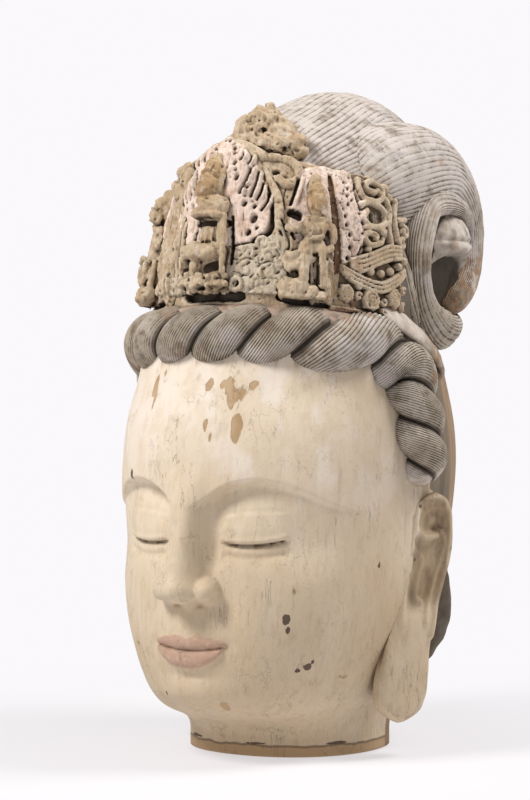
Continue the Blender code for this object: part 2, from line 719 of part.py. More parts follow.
def knot_point(shares, side=1):
    """Points given as shares of the topknot's half sizes, from its middle."""
    size = np.array([side * KNOT_HALF_WIDTH, KNOT_HALF_DEPTH, KNOT_HALF_HEIGHT])
    return np.array(shares) * size + np.array([0, KNOT_BACK, KNOT_LEVEL])


def lock(name, points, thickness, across, segments=24, rings=40, squareness=0.8):
    """A lock of hair on the topknot: a flattened rod whose wide side lies on the knot.

    Thickness and breadth are shares of the topknot's half height."""
    knots = spaced(points)
    stops = np.linspace(0, 1, len(thickness))
    thick = [(t, r * KNOT_HALF_HEIGHT) for t, r in zip(stops, thickness)]
    wide = [(t, r * KNOT_HALF_HEIGHT) for t, r in zip(stops, across)]
    middle = knot_point((0, 0, 0))

    def section(s, angle):
        out = np.maximum(np.abs(np.cos(angle)), 0.02) ** (squareness - 1)
        aside = np.maximum(np.abs(np.sin(angle)), 0.02) ** (squareness - 1)
        return curve_through(s, thick) * out, curve_through(s, wide) * aside

    return sweep(
        name, lambda s: curve_through(s, knots), lambda s: curve_through(s, knots) - middle,
        section, segments, rings,
    )


def carved_topknot():
    dome = np.array([DOME_HALF_WIDTH, DOME_DEPTH, DOME_HEIGHT]) + 0.002
    knot = np.array([KNOT_HALF_WIDTH, KNOT_HALF_DEPTH, KNOT_HALF_HEIGHT])
    front = np.array([0.04, -1.20, 0.68])
    parts = [
        ball("bun", knot_point((0, 0, 0)), knot, None, 48, 32),
        ball("dome", (0, 0, DOME_LEVEL), dome, None, 64, 40),
        lock("centre_lock",
             knot_point([(0, -1.41, 0.40), (0, -0.83, 0.74), (0, -0.11, 0.88), (0, 0.50, 0.67),
                         (0, 0.76, 0.12), (0, 0.71, -0.49), (0, 0.46, -0.80)]),
             [0.25, 0.29, 0.30, 0.30, 0.25], [0.40, 0.52, 0.58, 0.54, 0.42]),
        ball("worn_cloud", knot_point(front), knot * (0.25, 0.34, 0.23), None, 20, 14),
        ball("worn_cloud", knot_point(front + (0.14, 0.14, 0.09)), knot * (0.14, 0.20, 0.15)),
        ball("worn_cloud", knot_point(front + (-0.16, 0.10, 0.04)), knot * (0.13, 0.20, 0.14)),
    ]
    for side in (-1, 1):
        outer = [(0.36, -1.07, 0.46), (0.54, -0.43, 0.66), (0.64, 0.25, 0.56), (0.69, 0.67, 0.07),
                 (0.76, 0.60, -0.30), (0.82, 0.31, -0.46)]
        ring = [(0.95, 0.44, -0.06), (0.98, 0.31, 0.19), (0.95, 0.0, 0.27), (0.93, -0.30, 0.16),
                (0.92, -0.40, -0.17), (0.89, -0.32, -0.47), (0.83, 0.01, -0.66), (0.75, 0.40, -0.69),
                (0.63, 0.70, -0.56)]
        parts += [
            lock("outer_lock", knot_point(outer, side), [0.30, 0.32, 0.31, 0.29, 0.22, 0.12],
                 [0.37, 0.36, 0.35, 0.32, 0.25, 0.14], 24, 50),
            lock("ring_lock", knot_point(ring, side), [0.09, 0.12, 0.13, 0.13, 0.13, 0.16, 0.17, 0.14],
                 [0.09, 0.12, 0.13, 0.13, 0.13, 0.16, 0.17, 0.14], 20, 60),
            ball("knob", knot_point((0.94, 0.09, -0.13), side), knot * (0.23, 0.25, 0.26), None, 20, 14),
        ]
    return parts


# Assembly


def finish(obj, name):
    obj.name = obj.data.name = name
    label, colour, roughness = MATERIALS[name]
    material = bpy.data.materials.new(label)
    material.use_nodes = True
    shader = material.node_tree.nodes["Principled BSDF"]
    shader.inputs["Base Color"].default_value = (*colour, 1)
    shader.inputs["Roughness"].default_value = roughness
    material.diffuse_color = (*colour, 1)
    obj.data.materials.clear()
    obj.data.materials.append(material)
    return obj


def make_head():
    pieces = [head_shell(3), hair_roll(40, 160)]
    for side in (-1, 1):
        pieces += ear(side)
        pieces.append(ribbon(side))
    head = fuse(pieces, "head", HEAD_VOXEL, HEAD_FACES)
    boolean(head, block((-1, -1, -1), (1, 1, 0)), "DIFFERENCE")
    cut_seat_in_head(head)
    return finish(head, "head")


def make_crown():
    crown = fuse(carved_crown(), "crown", CROWN_VOXEL, CROWN_FACES)
    boolean(crown, crown_space(JOINT_GAP), "INTERSECT")
    cut_underside(crown, steps=False)
    return finish(crown, "crown")


def make_topknot():
    topknot = fuse(carved_topknot(), "topknot", KNOT_VOXEL, KNOT_FACES)
    boolean(topknot, crown_space(0.0), "DIFFERENCE")
    cut_underside(topknot, steps=True)
    return finish(topknot, "topknot")


def main():
    clear_scene()
    blocks = [make_head(), make_crown(), make_topknot()]
    home = bpy.data.collections.new("bodhisattva_head")
    bpy.context.scene.collection.children.link(home)
    for obj in blocks:
        for owner in list(obj.users_collection):
            owner.objects.unlink(obj)
        home.objects.link(obj)


main()
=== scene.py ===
# Bodhisattva head of carved wood, gessoed and painted, with its hair roll, crown and topknot
import math

import bpy
import numpy as np
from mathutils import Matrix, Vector
from mathutils.bvhtree import BVHTree


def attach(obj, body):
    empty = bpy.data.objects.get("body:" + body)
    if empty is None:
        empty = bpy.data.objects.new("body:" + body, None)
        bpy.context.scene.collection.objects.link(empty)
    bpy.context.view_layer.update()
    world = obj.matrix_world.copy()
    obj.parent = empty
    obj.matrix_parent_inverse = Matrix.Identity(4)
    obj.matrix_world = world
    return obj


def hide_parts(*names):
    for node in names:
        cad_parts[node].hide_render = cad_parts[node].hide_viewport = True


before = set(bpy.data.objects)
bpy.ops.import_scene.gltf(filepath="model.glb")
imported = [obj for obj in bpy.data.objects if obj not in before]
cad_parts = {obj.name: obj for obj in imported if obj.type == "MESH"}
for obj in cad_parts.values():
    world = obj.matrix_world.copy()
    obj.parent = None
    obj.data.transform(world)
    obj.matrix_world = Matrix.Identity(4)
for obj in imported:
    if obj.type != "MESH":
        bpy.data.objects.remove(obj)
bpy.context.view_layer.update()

# Sizes that the pieces share with the solids, in metres
head = dict(faceHeight=0.310, chinLevel=0.035, neckRadius=0.088, halfWidth=0.136, depth=0.167, back=0.181)
seat = dict(level=0.377, slope=0.13, lowLevel=0.356, stepAt=0.030)
dome = dict(halfWidth=0.109, depth=0.120, height=0.165, level=0.400)


# Helpers for shapes


def deselect():
    bpy.ops.object.select_all(action="DESELECT")


def pointsOf(piece):
    points = np.empty(len(piece.data.vertices) * 3)
    piece.data.vertices.foreach_get("co", points)
    return points.reshape(-1, 3)


def setPoints(piece, points):
    piece.data.vertices.foreach_set("co", np.asarray(points, float).ravel())
    piece.data.update()


def keepMap(piece, name, values):
    # a number at each point, which the paint reads by its name
    layer = piece.data.attributes.get(name) or piece.data.attributes.new(name, "FLOAT", "POINT")
    layer.data.foreach_set("value", np.broadcast_to(values, len(piece.data.vertices)).astype(float))


def choose(piece):
    deselect()
    piece.select_set(True)
    bpy.context.view_layer.objects.active = piece


def named(piece, name, side=0):
    # gives the piece its name, with the side it is on where it has a twin
    piece.name = piece.data.name = name + {-1: "Right", 0: "", 1: "Left"}[side]
    return piece


def editAll(piece, *steps):
    choose(piece)
    bpy.ops.object.mode_set(mode="EDIT")
    bpy.ops.mesh.select_all(action="SELECT")
    for step in steps:
        step()
    bpy.ops.object.mode_set(mode="OBJECT")


def modify(piece, kind, **settings):
    choose(piece)
    modifier = piece.modifiers.new(kind.title(), kind)
    for name, value in settings.items():
        setattr(modifier, name, value)
    bpy.ops.object.modifier_apply(modifier=modifier.name)


def sheetOf(name, columns, rows, side=0):
    # a flat grid, with each point's share across (u) and up (t)
    deselect()
    bpy.ops.mesh.primitive_grid_add(x_subdivisions=columns, y_subdivisions=rows, size=2)
    piece = named(bpy.context.active_object, name, side)
    at = pointsOf(piece)
    return piece, (at[:, 0] + 1) / 2, (at[:, 1] + 1) / 2


def closeUp(piece, points, **maps):
    # puts the grid's points in place and closes its seam and its ends
    setPoints(piece, points)
    for name, values in maps.items():
        keepMap(piece, name, values)
    editAll(
        piece,
        lambda: bpy.ops.mesh.remove_doubles(threshold=1e-5),
        lambda: bpy.ops.mesh.normals_make_consistent(inside=False),
    )
    bpy.ops.object.shade_smooth()
    return piece


def fuse(name, parts, voxel):
    # one closed skin round overlapping lumps
    choose(parts[0])
    for part in parts:
        part.select_set(True)
    bpy.ops.object.join()
    piece = named(parts[0], name)
    modify(piece, "REMESH", mode="VOXEL", voxel_size=voxel)
    modify(piece, "SMOOTH", factor=0.5, iterations=1)
    bpy.ops.object.shade_smooth()
    return piece


def neighbourMean(piece):
    # a function that averages any values over each point's neighbours
    mesh = piece.data
    pairs = np.empty(len(mesh.edges) * 2, int)
    mesh.edges.foreach_get("vertices", pairs)
    a, b = pairs.reshape(-1, 2).T
    count = len(mesh.vertices)
    links = np.maximum(np.bincount(a, minlength=count) + np.bincount(b, minlength=count), 1)

    def mean(values):
        total = np.bincount(a, values[b], count) + np.bincount(b, values[a], count)
        return total / links

    return mean


def normalsOf(piece):
    normals = np.empty(len(piece.data.vertices) * 3)
    piece.data.vertex_normals.foreach_get("vector", normals)
    return normals.reshape(-1, 3)


def push(piece, out):
    # moves each point along its normal
    setPoints(piece, pointsOf(piece) + normalsOf(piece) * out[:, None])


def findHollows(piece, fine=5, broad=40, fineSize=0.0006, broadSize=0.004):
    # how deep each point lies among its neighbours, near by and further round
    mean = neighbourMean(piece)
    points, normals = pointsOf(piece), normalsOf(piece)
    around = points.copy()
    for turn in range(1, broad + 1):
        around = np.stack([0.5 * around[:, i] + 0.5 * mean(around[:, i]) for i in range(3)], 1)
        if turn == fine:
            near = ((around - points) * normals).sum(1)
    far = ((around - points) * normals).sum(1)
    keepMap(piece, "groove", near / fineSize)
    keepMap(piece, "hollow", far / broadSize)


def keepShade(pieces, around=(), reach=0.014, rays=14, lift=0.00025):
    # how much of the open air close to each point is hidden by the pieces, from 0 to 1
    points, faces, start = [], [], 0
    for piece in [*pieces, *around]:
        at = pointsOf(piece)
        faces += [[start + corner for corner in polygon.vertices] for polygon in piece.data.polygons]
        points.append(at)
        start += len(at)
    cast = BVHTree.FromPolygons(np.concatenate(points).tolist(), faces).ray_cast
    # rays spread evenly over the half sphere
    goldenAngle = 2.39996
    turns = np.arange(rays) * goldenAngle
    spread = np.sqrt((np.arange(rays) + 0.5) / rays) * 0.98
    local = np.stack([spread * np.cos(turns), spread * np.sin(turns), np.sqrt(1 - spread**2)], 1)
    for piece in pieces:
        at, normal = pointsOf(piece), normalsOf(piece)
        side = unit(np.cross(normal, np.where(np.abs(normal[:, 2:]) < 0.9, (0, 0, 1), (1, 0, 0))))
        other = np.cross(normal, side)
        starts = (at + normal * lift).tolist()
        hidden = np.zeros(len(at))
        for ray in local:
            ways = (side * ray[0] + other * ray[1] + normal * ray[2]).tolist()
            for index, (begin, way) in enumerate(zip(starts, ways)):
                gap = cast(begin, way, reach)[3]
                if gap is not None:
                    hidden[index] += 1 - gap / reach
        hidden /= rays
        keepMap(piece, "shade", 0.5 * hidden + 0.5 * neighbourMean(piece)(hidden))


def curveThrough(t, knots):
    # a smooth curve through (t, value...) knots, flat beyond the ends
    x = np.array([knot[0] for knot in knots], float)
    y = np.array([knot[1:] for knot in knots], float)
    slope = np.gradient(y, x, axis=0)
    t = np.clip(np.asarray(t, float), x[0], x[-1])
    i = np.clip(np.searchsorted(x, t) - 1, 0, len(x) - 2)
    h = (x[i + 1] - x[i])[..., None]
    s = (t - x[i])[..., None] / h
    value = (
        (2 * s**3 - 3 * s**2 + 1) * y[i] + (s**3 - 2 * s**2 + s) * h * slope[i]
        + (3 * s**2 - 2 * s**3) * y[i + 1] + (s**3 - s**2) * h * slope[i + 1]
    )
    return value[..., 0] if y.shape[1] == 1 else value


def spaced(points):
    # the points as knots for curveThrough, spaced by the distance between them
    points = np.array(points, float)
    gaps = np.linalg.norm(np.diff(points[:, :3], axis=0), axis=1)
    along = np.concatenate([[0], np.cumsum(gaps)]) / gaps.sum()
    return [(t, *point) for t, point in zip(along, points)]


def blend(value, low, high):
    t = np.clip((value - low) / (high - low), 0, 1)
    return t * t * (3 - 2 * t)


def lump(x, v, cx, cv, wx, wv):
    return np.exp(-(((x - cx) / wx) ** 2) - ((v - cv) / wv) ** 2)


def smoothMax(a, b, k):
    h = np.clip(0.5 + 0.5 * (a - b) / k, 0, 1)
    return b + (a - b) * h + k * h * (1 - h) * blend(np.maximum(a, b), 0, k)


def unit(vectors):
    return vectors / np.maximum(np.linalg.norm(vectors, axis=-1, keepdims=True), 1e-12)


latticePrimes = (73856093, 19349663, 83492791)  # mix a corner's three whole numbers into one key


def mottle(points, size, seed):
    # smooth heights from -1 to 1, drawn once for each corner of a lattice of that size
    table = np.random.default_rng(seed).uniform(-1, 1, 4096)
    place = np.asarray(points) / size + 500.0
    corner = np.floor(place).astype(int)
    f = place - corner
    f = f * f * (3 - 2 * f)
    total = np.zeros(len(place))
    for step in np.ndindex(2, 2, 2):
        key, weight = 0, 1
        for axis, prime in enumerate(latticePrimes):
            key = key ^ (corner[:, axis] + step[axis]) * prime
            weight = weight * np.abs(1 - step[axis] - f[:, axis])
        total += table[key & (len(table) - 1)] * weight
    return total


def ball(centre, size, place=None, segments=24, rings=16):
    deselect()
    bpy.ops.mesh.primitive_uv_sphere_add(segments=segments, ring_count=rings, radius=1)
    piece = bpy.context.active_object
    points = pointsOf(piece) * np.array(size) + np.array(centre)
    setPoints(piece, points if place is None else place(points))
    return piece


def sweep(path, outward, section, segments=20, rings=24, tip=6):
    # a closed tube along a path, its section given by its half extents out and across
    piece = ball((0, 0, 0), (1, 1, 1), None, segments, rings)
    p = unit(pointsOf(piece))
    s = np.arcsin(np.clip(p[:, 2], -1, 1)) / math.pi + 0.5
    angle = np.arctan2(p[:, 0], -p[:, 1])
    closing = np.sqrt(np.clip(1 - np.abs(2 * s - 1) ** tip, 0, 1))
    tangent = unit(path(np.minimum(s + 0.01, 1)) - path(np.maximum(s - 0.01, 0)))
    normal = outward(s)
    normal = unit(normal - tangent * (normal * tangent).sum(1, keepdims=True))
    out, across = section(s, angle)
    points = path(s) + normal * (np.cos(angle) * out * closing)[:, None]
    points += np.cross(tangent, normal) * (np.sin(angle) * across * closing)[:, None]
    setPoints(piece, points)
    return piece


def rod(points, radii, segments=12, rings=20, flat=1.0):
    # a rod through the points, its radius running through the radii, flattened by a share
    knots = spaced(points)
    thickness = list(zip(np.linspace(0, 1, len(radii)), radii))

    def section(s, angle):
        radius = curveThrough(s, thickness)
        return radius * flat, radius

    return sweep(
        lambda s: curveThrough(s, knots), lambda s: np.tile([0.03, 0.02, 1.0], (len(s), 1)),
        section, segments, rings, tip=8,
    )


# Helpers for paint


class Wire:
    # a socket whose sums and products become Math nodes
    def __init__(self, paint, socket):
        self.paint, self.socket = paint, socket

    def sum(self, operation, *values):
        return self.paint.node("ShaderNodeMath", {"operation": operation}, dict(enumerate(values)))

    def __add__(self, other):
        return self.sum("ADD", self, other)

    def __radd__(self, other):
        return self.sum("ADD", other, self)

    def __sub__(self, other):
        return self.sum("SUBTRACT", self, other)

    def __rsub__(self, other):
        return self.sum("SUBTRACT", other, self)

    def __mul__(self, other):
        return self.sum("MULTIPLY", self, other)

    def __rmul__(self, other):
        return self.sum("MULTIPLY", other, self)

    def gap(self, value):
        # how far it is from a value
        return self.sum("ABSOLUTE", self - value)

    def between(self, low, high):
        # 0 below low, 1 above high
        return self.paint.node(
            "ShaderNodeMapRange", {"interpolation_type": "SMOOTHSTEP"},
            {"Value": self, "From Min": low, "From Max": high},
        )


class Paint:
    # a finish, its nodes added one by one
    def __init__(self, name, roughness, specular=0.3):
        self.material = bpy.data.materials.new(name)
        self.material.use_nodes = True
        self.tree = self.material.node_tree
        self.shader = self.tree.nodes["Principled BSDF"]
        self.shader.inputs["Roughness"].default_value = roughness
        self.shader.inputs["Specular IOR Level"].default_value = specular
        self.place = self.node("ShaderNodeTexCoord", output="Object")

    def node(self, kind, settings=None, sockets=None, output=0):
        made = self.tree.nodes.new(kind)
        for name, value in (settings or {}).items():
            setattr(made, name, value)
        for name, value in (sockets or {}).items():
            self.feed(made.inputs[name], value)
        return Wire(self, made.outputs[output])

    def feed(self, socket, value):
        if isinstance(value, Wire):
            self.tree.links.new(value.socket, socket)
        elif isinstance(value, tuple) and len(value) == 3 and socket.type == "RGBA":
            socket.default_value = (*value, 1)
        else:
            socket.default_value = value

    def layer(self, name):
        # a map kept on the mesh
        return self.node("ShaderNodeAttribute", {"attribute_name": name}, output="Fac")

    def noise(self, size, detail, stretch, shift, rough=0.5):
        # cloudy noise about 0.5, its lumps of that size in metres
        scale = tuple(1 / (size * s) for s in stretch)
        at = self.node(
            "ShaderNodeMapping", None, {"Vector": self.place, "Scale": scale, "Location": (shift,) * 3}
        )
        return self.node(
            "ShaderNodeTexNoise", None, {"Vector": at, "Scale": 1.0, "Detail": detail, "Roughness": rough}
        )

    def patches(self, size, low, high, shift, detail=4, stretch=(1, 1, 1), rough=0.6):
        # the noise as patches, 0 where it is under low and 1 where it is over high
        return self.noise(size, detail, stretch, shift, rough).between(low, high)

    def mix(self, share, one, other):
        # one colour where the share is 0, the other where it is 1
        return self.node(
            "ShaderNodeMix", {"data_type": "RGBA"}, {0: share, 6: one, 7: other}, output=2
        )

    def finish(self, colour, roughness=None, relief=()):
        # relief is (height wire, distance in metres, strength) from coarse to fine
        self.feed(self.shader.inputs["Base Color"], colour)
        if roughness is not None:
            self.feed(self.shader.inputs["Roughness"], roughness)
        normal = None
        for height, distance, strength in relief:
            sockets = {"Height": height, "Distance": distance, "Strength": strength}
            if normal is not None:
                sockets["Normal"] = normal
            normal = self.node("ShaderNodeBump", None, sockets)
        if normal is not None:
            self.feed(self.shader.inputs["Normal"], normal)
        return self.material


def wear(piece, material, node=None):
    piece.data.materials.clear()
    piece.data.materials.append(material)
    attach(piece, "root")
    if node:
        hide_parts(node)


# Head


def headSection(v):
    # half width, front depth and back depth at height v, in face heights above the chin
    width = curveThrough(
        v, [(-0.05, 0.66), (0.0, 0.70), (0.04, 0.76), (0.10, 0.82), (0.20, 0.89), (0.34, 0.955),
            (0.50, 0.99), (0.66, 1.0), (0.82, 0.98), (0.98, 0.92), (1.10, 0.90), (1.20, 0.90)])
    front = curveThrough(
        v, [(-0.05, 0.56), (0.0, 0.70), (0.03, 0.82), (0.07, 0.90), (0.12, 0.94), (0.21, 0.965),
            (0.34, 0.98), (0.50, 0.99), (0.66, 1.01), (0.82, 0.975), (0.98, 0.86), (1.20, 0.80)])
    back = curveThrough(
        v, [(-0.05, 0.52), (0.0, 0.66), (0.05, 0.80), (0.12, 0.845), (0.40, 0.86), (0.50, 0.885),
            (0.60, 0.95), (0.70, 1.0), (0.90, 0.97), (1.05, 0.88), (1.20, 0.78)])
    neck = 1 - blend(v, -0.065, 0.02)
    return tuple(
        size * share * (1 - neck) + head["neckRadius"] * neck
        for size, share in ((head["halfWidth"], width), (head["depth"], front), (head["back"], back))
    )


def eyeRelief(x, v):
    # sockets under a crisp brow edge, the swell of the lids and the slit between them
    brow = curveThrough(
        x, [(0.0, 0.60), (0.04, 0.610), (0.10, 0.652), (0.19, 0.678), (0.28, 0.655), (0.36, 0.600),
            (0.42, 0.565)])
    t = np.clip((x - 0.088) / 0.187, 0, 1)
    window = np.sin(math.pi * t)
    slit = 0.502 - 0.012 * window + 0.010 * t
    depth = curveThrough(
        x, [(0.0, 0.0), (0.025, 0.003), (0.060, 0.034), (0.10, 0.045), (0.19, 0.038), (0.28, 0.024),
            (0.35, 0.008), (0.40, 0.0)])
    swell = np.exp(-(((x - 0.180) / 0.100) ** 4))
    down = (brow - v) / (brow - slit)
    above = blend(down, 0.0, 0.14) * (1 - 0.78 * swell * blend(down, 0.14, 0.85))
    below = (1 - 0.78 * swell) * (1 - blend(slit - v, 0.0, 0.13))
    relief = -depth * np.where(down < 1, above, below)
    shape = blend(window, 0.0, 0.35)
    relief -= 0.011 * shape * (down >= 1) * (1 - blend(slit - v, 0.01, 0.075))
    relief += 0.0045 * lump(0, v, 0, slit - 0.018, 1, 0.009) * shape
    relief -= 0.0045 * lump(0, v, 0, slit - 0.036, 1, 0.008) * shape
    relief += 0.0040 * lump(0, v, 0, slit + 0.010, 1, 0.008) * shape
    relief -= 0.0030 * lump(0, down, 0, 0.50, 1, 0.03) * shape
    relief += 0.0016 * lump(0, down, 0, 0.56, 1, 0.04) * shape
    opening = np.clip(1 - np.abs(v - slit) / (0.004 + 0.004 * window), 0, 1) * shape
    return relief - 0.014 * opening, opening


def noseRelief(x, v):
    ridge = curveThrough(
        v, [(0.30, 0), (0.325, 0.0), (0.345, 0.070), (0.37, 0.096), (0.42, 0.083), (0.50, 0.063),
            (0.58, 0.041), (0.64, 0.022), (0.70, 0.006), (0.76, 0)])
    half = curveThrough(
        v, [(0.30, 0.05), (0.37, 0.050), (0.42, 0.043), (0.50, 0.040), (0.60, 0.046), (0.76, 0.07)])
    nose = ridge * np.exp(-0.8 * (x / half) ** 2.6)
    under = blend(v, 0.322 + 0.10 * x, 0.342 + 0.10 * x)
    tip = 1 - (x / 0.052) ** 2 - ((v - 0.374) / 0.048) ** 2
    wing = 1 - ((x - 0.060) / 0.036) ** 2 - ((v - 0.371) / 0.040) ** 2
    nose = smoothMax(nose, 0.100 * np.sqrt(np.maximum(tip, 0)), 0.012)
    nose = smoothMax(nose, 0.058 * np.sqrt(np.maximum(wing, 0)), 0.010)
    return nose * under - 0.016 * lump(x, v, 0.036, 0.338, 0.013, 0.009)


def mouthRelief(x, v):
    relief = 0.018 * lump(x, v, 0, 0.215, 0.135, 0.085)
    line = 0.209 + 0.013 * (x / 0.110) ** 2
    arch = np.sqrt(np.clip(1 - (x / 0.113) ** 2, 0, 1))
    upper = line + 0.043 * arch**1.3 - 0.009 * np.exp(-((x / 0.018) ** 2))
    lower = line - 0.052 * np.sqrt(np.clip(1 - (x / 0.100) ** 2, 0, 1))
    lips = np.zeros_like(x)
    for border, height in ((upper, 0.019), (lower, 0.022)):
        t = (v - line) / np.where(np.abs(border - line) < 1e-4, 1e-4, border - line)
        inside = (t > 0) & (t < 1)
        t = np.clip(t, 0, 1)
        relief += np.where(inside, height * np.sqrt(t) * (1 - t**5) * arch**0.7, 0)
        lips = np.maximum(lips, inside * blend(t, 1.0, 0.9))
    relief -= 0.007 * np.exp(-(((v - line) / 0.0045) ** 2)) * blend(0.125 - x, 0, 0.03)
    relief -= 0.006 * lump(x, v, 0.117, 0.224, 0.018, 0.018)
    relief -= 0.005 * np.exp(-((x / 0.013) ** 2)) * blend(v, 0.25, 0.27) * (1 - blend(v, 0.31, 0.33))
    relief -= 0.012 * lump(x, v, 0, 0.138, 0.075, 0.018)
    relief += 0.026 * lump(x, v, 0, 0.083, 0.105, 0.062)
    return relief, lips


def seatHeight(y):
    # the level that the crown and the topknot stand on
    front = seat["level"] - seat["slope"] * y
    return front + (seat["lowLevel"] - front) * blend(y, seat["stepAt"] - 0.001, seat["stepAt"] + 0.003)


headCarving = dict(
    columns=360, rows=180, squareness=0.93,
    turns=([0, 0.06, 0.11, 0.89, 0.94, 1], [-180, -110, -80, 80, 110, 180]),
    # shares of the rows, and the heights of the first five in face heights above the chin
    rises=[0, 0.025, 0.14, 0.53, 0.90, 0.97, 1], heights=[-0.1129, -0.1129, 0.04, 0.38, 0.72],
)


def carvedHead():
    plan = headCarving
    piece, u, t = sheetOf("carvedHead", plan["columns"], plan["rows"])
    around = np.radians(np.interp(u, *plan["turns"]))
    sine, cosine = np.sin(around), np.cos(around)
    side = np.sign(sine) * np.abs(sine) ** plan["squareness"]
    front = np.sign(cosine) * np.abs(cosine) ** plan["squareness"]
    # the wall rises to the seat at each angle
    reach = np.where(front > 0, head["depth"] * 0.82, head["back"] * 0.86)
    top = seatHeight(-front * reach)
    low, high = plan["rises"][1], plan["rises"][-2]
    stop = head["chinLevel"] + plan["heights"][-1] * head["faceHeight"]
    z = np.where(
        t < plan["rises"][4],
        head["chinLevel"] + head["faceHeight"] * np.interp(t, plan["rises"][:5], plan["heights"]),
        stop + (top - stop) * np.interp(t, plan["rises"][4:6], [0, 1]),
    )
    z = np.where(t <= low, 0.0, np.where(t >= high, top, z))
    v = (z - head["chinLevel"]) / head["faceHeight"]
    jaw = 0.035 * blend(np.abs(around), 0.5, 1.5) * (1 - blend(v, 0.12, 0.42)) * blend(v, -0.05, 0.03)
    width, depth, back = headSection(v - jaw)
    depth = np.where(front > 0, depth, back)
    x, y = width * side, -depth * front
    face = blend(cosine, 0.05, 0.35)
    shareX = np.abs(x) / head["faceHeight"]
    eyes, opening = eyeRelief(shareX, v)
    mouth, lips = mouthRelief(shareX, v)
    relief = eyes + noseRelief(shareX, v) + mouth
    relief += 0.014 * lump(shareX, v, 0.225, 0.30, 0.13, 0.14)
    relief -= 0.008 * lump(shareX, v, 0.115, 0.320, 0.030, 0.060)
    relief *= face * head["faceHeight"]
    normal = unit(np.stack([sine / width, -cosine / depth], 1))
    disc = np.clip(t / low, 0, 1) * np.clip((1 - t) / (1 - high), 0, 1)
    x, y = (x + relief * normal[:, 0]) * disc, (y + relief * normal[:, 1]) * disc
    z = np.where(t > high, np.minimum(z, seatHeight(y)), z)
    degrees = np.degrees(around)
    hairLevel = np.interp(
        np.abs(degrees), [0, 30, 50, 70, 80, 88, 96, 110],
        [0.364, 0.361, 0.354, 0.340, 0.320, 0.285, 0.215, 0.205])
    closeUp(piece, np.stack([x, y, z], 1), lips=lips * face, opening=opening * face, turn=np.abs(degrees),
            scalp=blend(z, hairLevel, hairLevel + 0.003), flake=spots(degrees, z, flakes),
            chip=spots(degrees, z, chips))
    return piece


# worn places: degrees round, level, half width in degrees, half height, strength
flakes = [
    (-21.3, 0.322, 1.5, 0.011, 1.0), (-19.6, 0.310, 1.0, 0.009, 0.8), (-17.0, 0.330, 1.8, 0.006, 0.8),
    (1.5, 0.327, 2.6, 0.004, 0.9), (4.5, 0.322, 2.0, 0.006, 0.8), (9.6, 0.324, 1.2, 0.005, 0.9),
    (12.0, 0.321, 1.8, 0.008, 1.0), (14.4, 0.311, 1.8, 0.009, 1.1), (17.5, 0.317, 3.0, 0.006, 1.0),
    (21.5, 0.322, 2.2, 0.005, 0.8), (17.3, 0.287, 1.9, 0.0095, 1.3), (5.8, 0.290, 1.1, 0.009, 0.8),
    (8.0, 0.277, 1.0, 0.010, 0.7), (47, 0.305, 5.5, 0.007, 0.55), (55, 0.300, 4.0, 0.009, 0.5),
    (-9, 0.245, 1.0, 0.012, 0.6), (38, 0.150, 1.2, 0.006, 0.6), (-30, 0.10, 3.0, 0.004, 0.6),
    (12, 0.052, 2.4, 0.006, 0.7), (62, 0.075, 5.0, 0.004, 0.55), (70, 0.235, 1.5, 0.02, 0.45),
]
chips = [
    (35.7, 0.127, 1.4, 0.0045, 0.95), (36.6, 0.118, 0.8, 0.004, 0.85), (45.7, 0.086, 1.7, 0.0028, 1.0),
    (42.0, 0.083, 1.2, 0.002, 0.85), (47.5, 0.090, 0.9, 0.0022, 0.85), (-29, 0.246, 1.4, 0.0042, 0.85),
    (-14, 0.060, 0.9, 0.002, 0.8), (70, 0.170, 0.7, 0.004, 0.7), (88, 0.120, 1.2, 0.006, 0.7),
    (60, 0.0125, 8.0, 0.0014, 0.9), (-35, 0.0130, 9.0, 0.0014, 0.9), (10, 0.0120, 7.0, 0.0012, 0.9),
]


def spots(degrees, level, places):
    value = np.zeros_like(level)
    for turn, high, wide, tall, strength in places:
        gap = ((degrees - turn) / wide) ** 2 + ((level - high) / tall) ** 2
        value = np.maximum(value, strength * np.exp(-0.7 * gap))
    return value


# Hair roll

roll = dict(
    radius=0.025, halfWidth=0.139, depth=0.132, rows=240, grooves=38, grooveDepth=0.0015,
    half=[(0, -1, 1.066), (0.315, -0.927, 1.063), (0.60, -0.68, 1.045), (0.765, -0.275, 1.012),
          (0.868, -0.126, 0.965), (0.955, -0.095, 0.845), (1.0, -0.022, 0.649)],
    swell=[(0, 1.0), (0.16, 1.04), (0.36, 1.18), (0.52, 1.36), (0.67, 1.32), (0.80, 1.22), (1, 1.20)],
    # half turns made by the strands at each length from the middle
    turns=[(0, 0.5), (0.041, 1.5), (0.083, 2.5), (0.118, 3.05), (0.156, 3.5), (0.204, 4.5), (0.240, 5.5),
           (0.2815, 6.5)],
)


def rollPath(s):
    whole = [(-x, y, level) for x, y, level in reversed(roll["half"][1:])] + roll["half"]
    size = np.array([roll["halfWidth"], roll["depth"], head["faceHeight"]])
    return curveThrough(s, spaced(np.array(whole) * size)) + np.array([0, 0, head["chinLevel"]])


def rollTurn(reach):
    line = rollPath(np.linspace(0.5, 1, 60))
    length = reach * np.linalg.norm(np.diff(line, axis=0), axis=1).sum()
    return math.pi * curveThrough(length, roll["turns"])


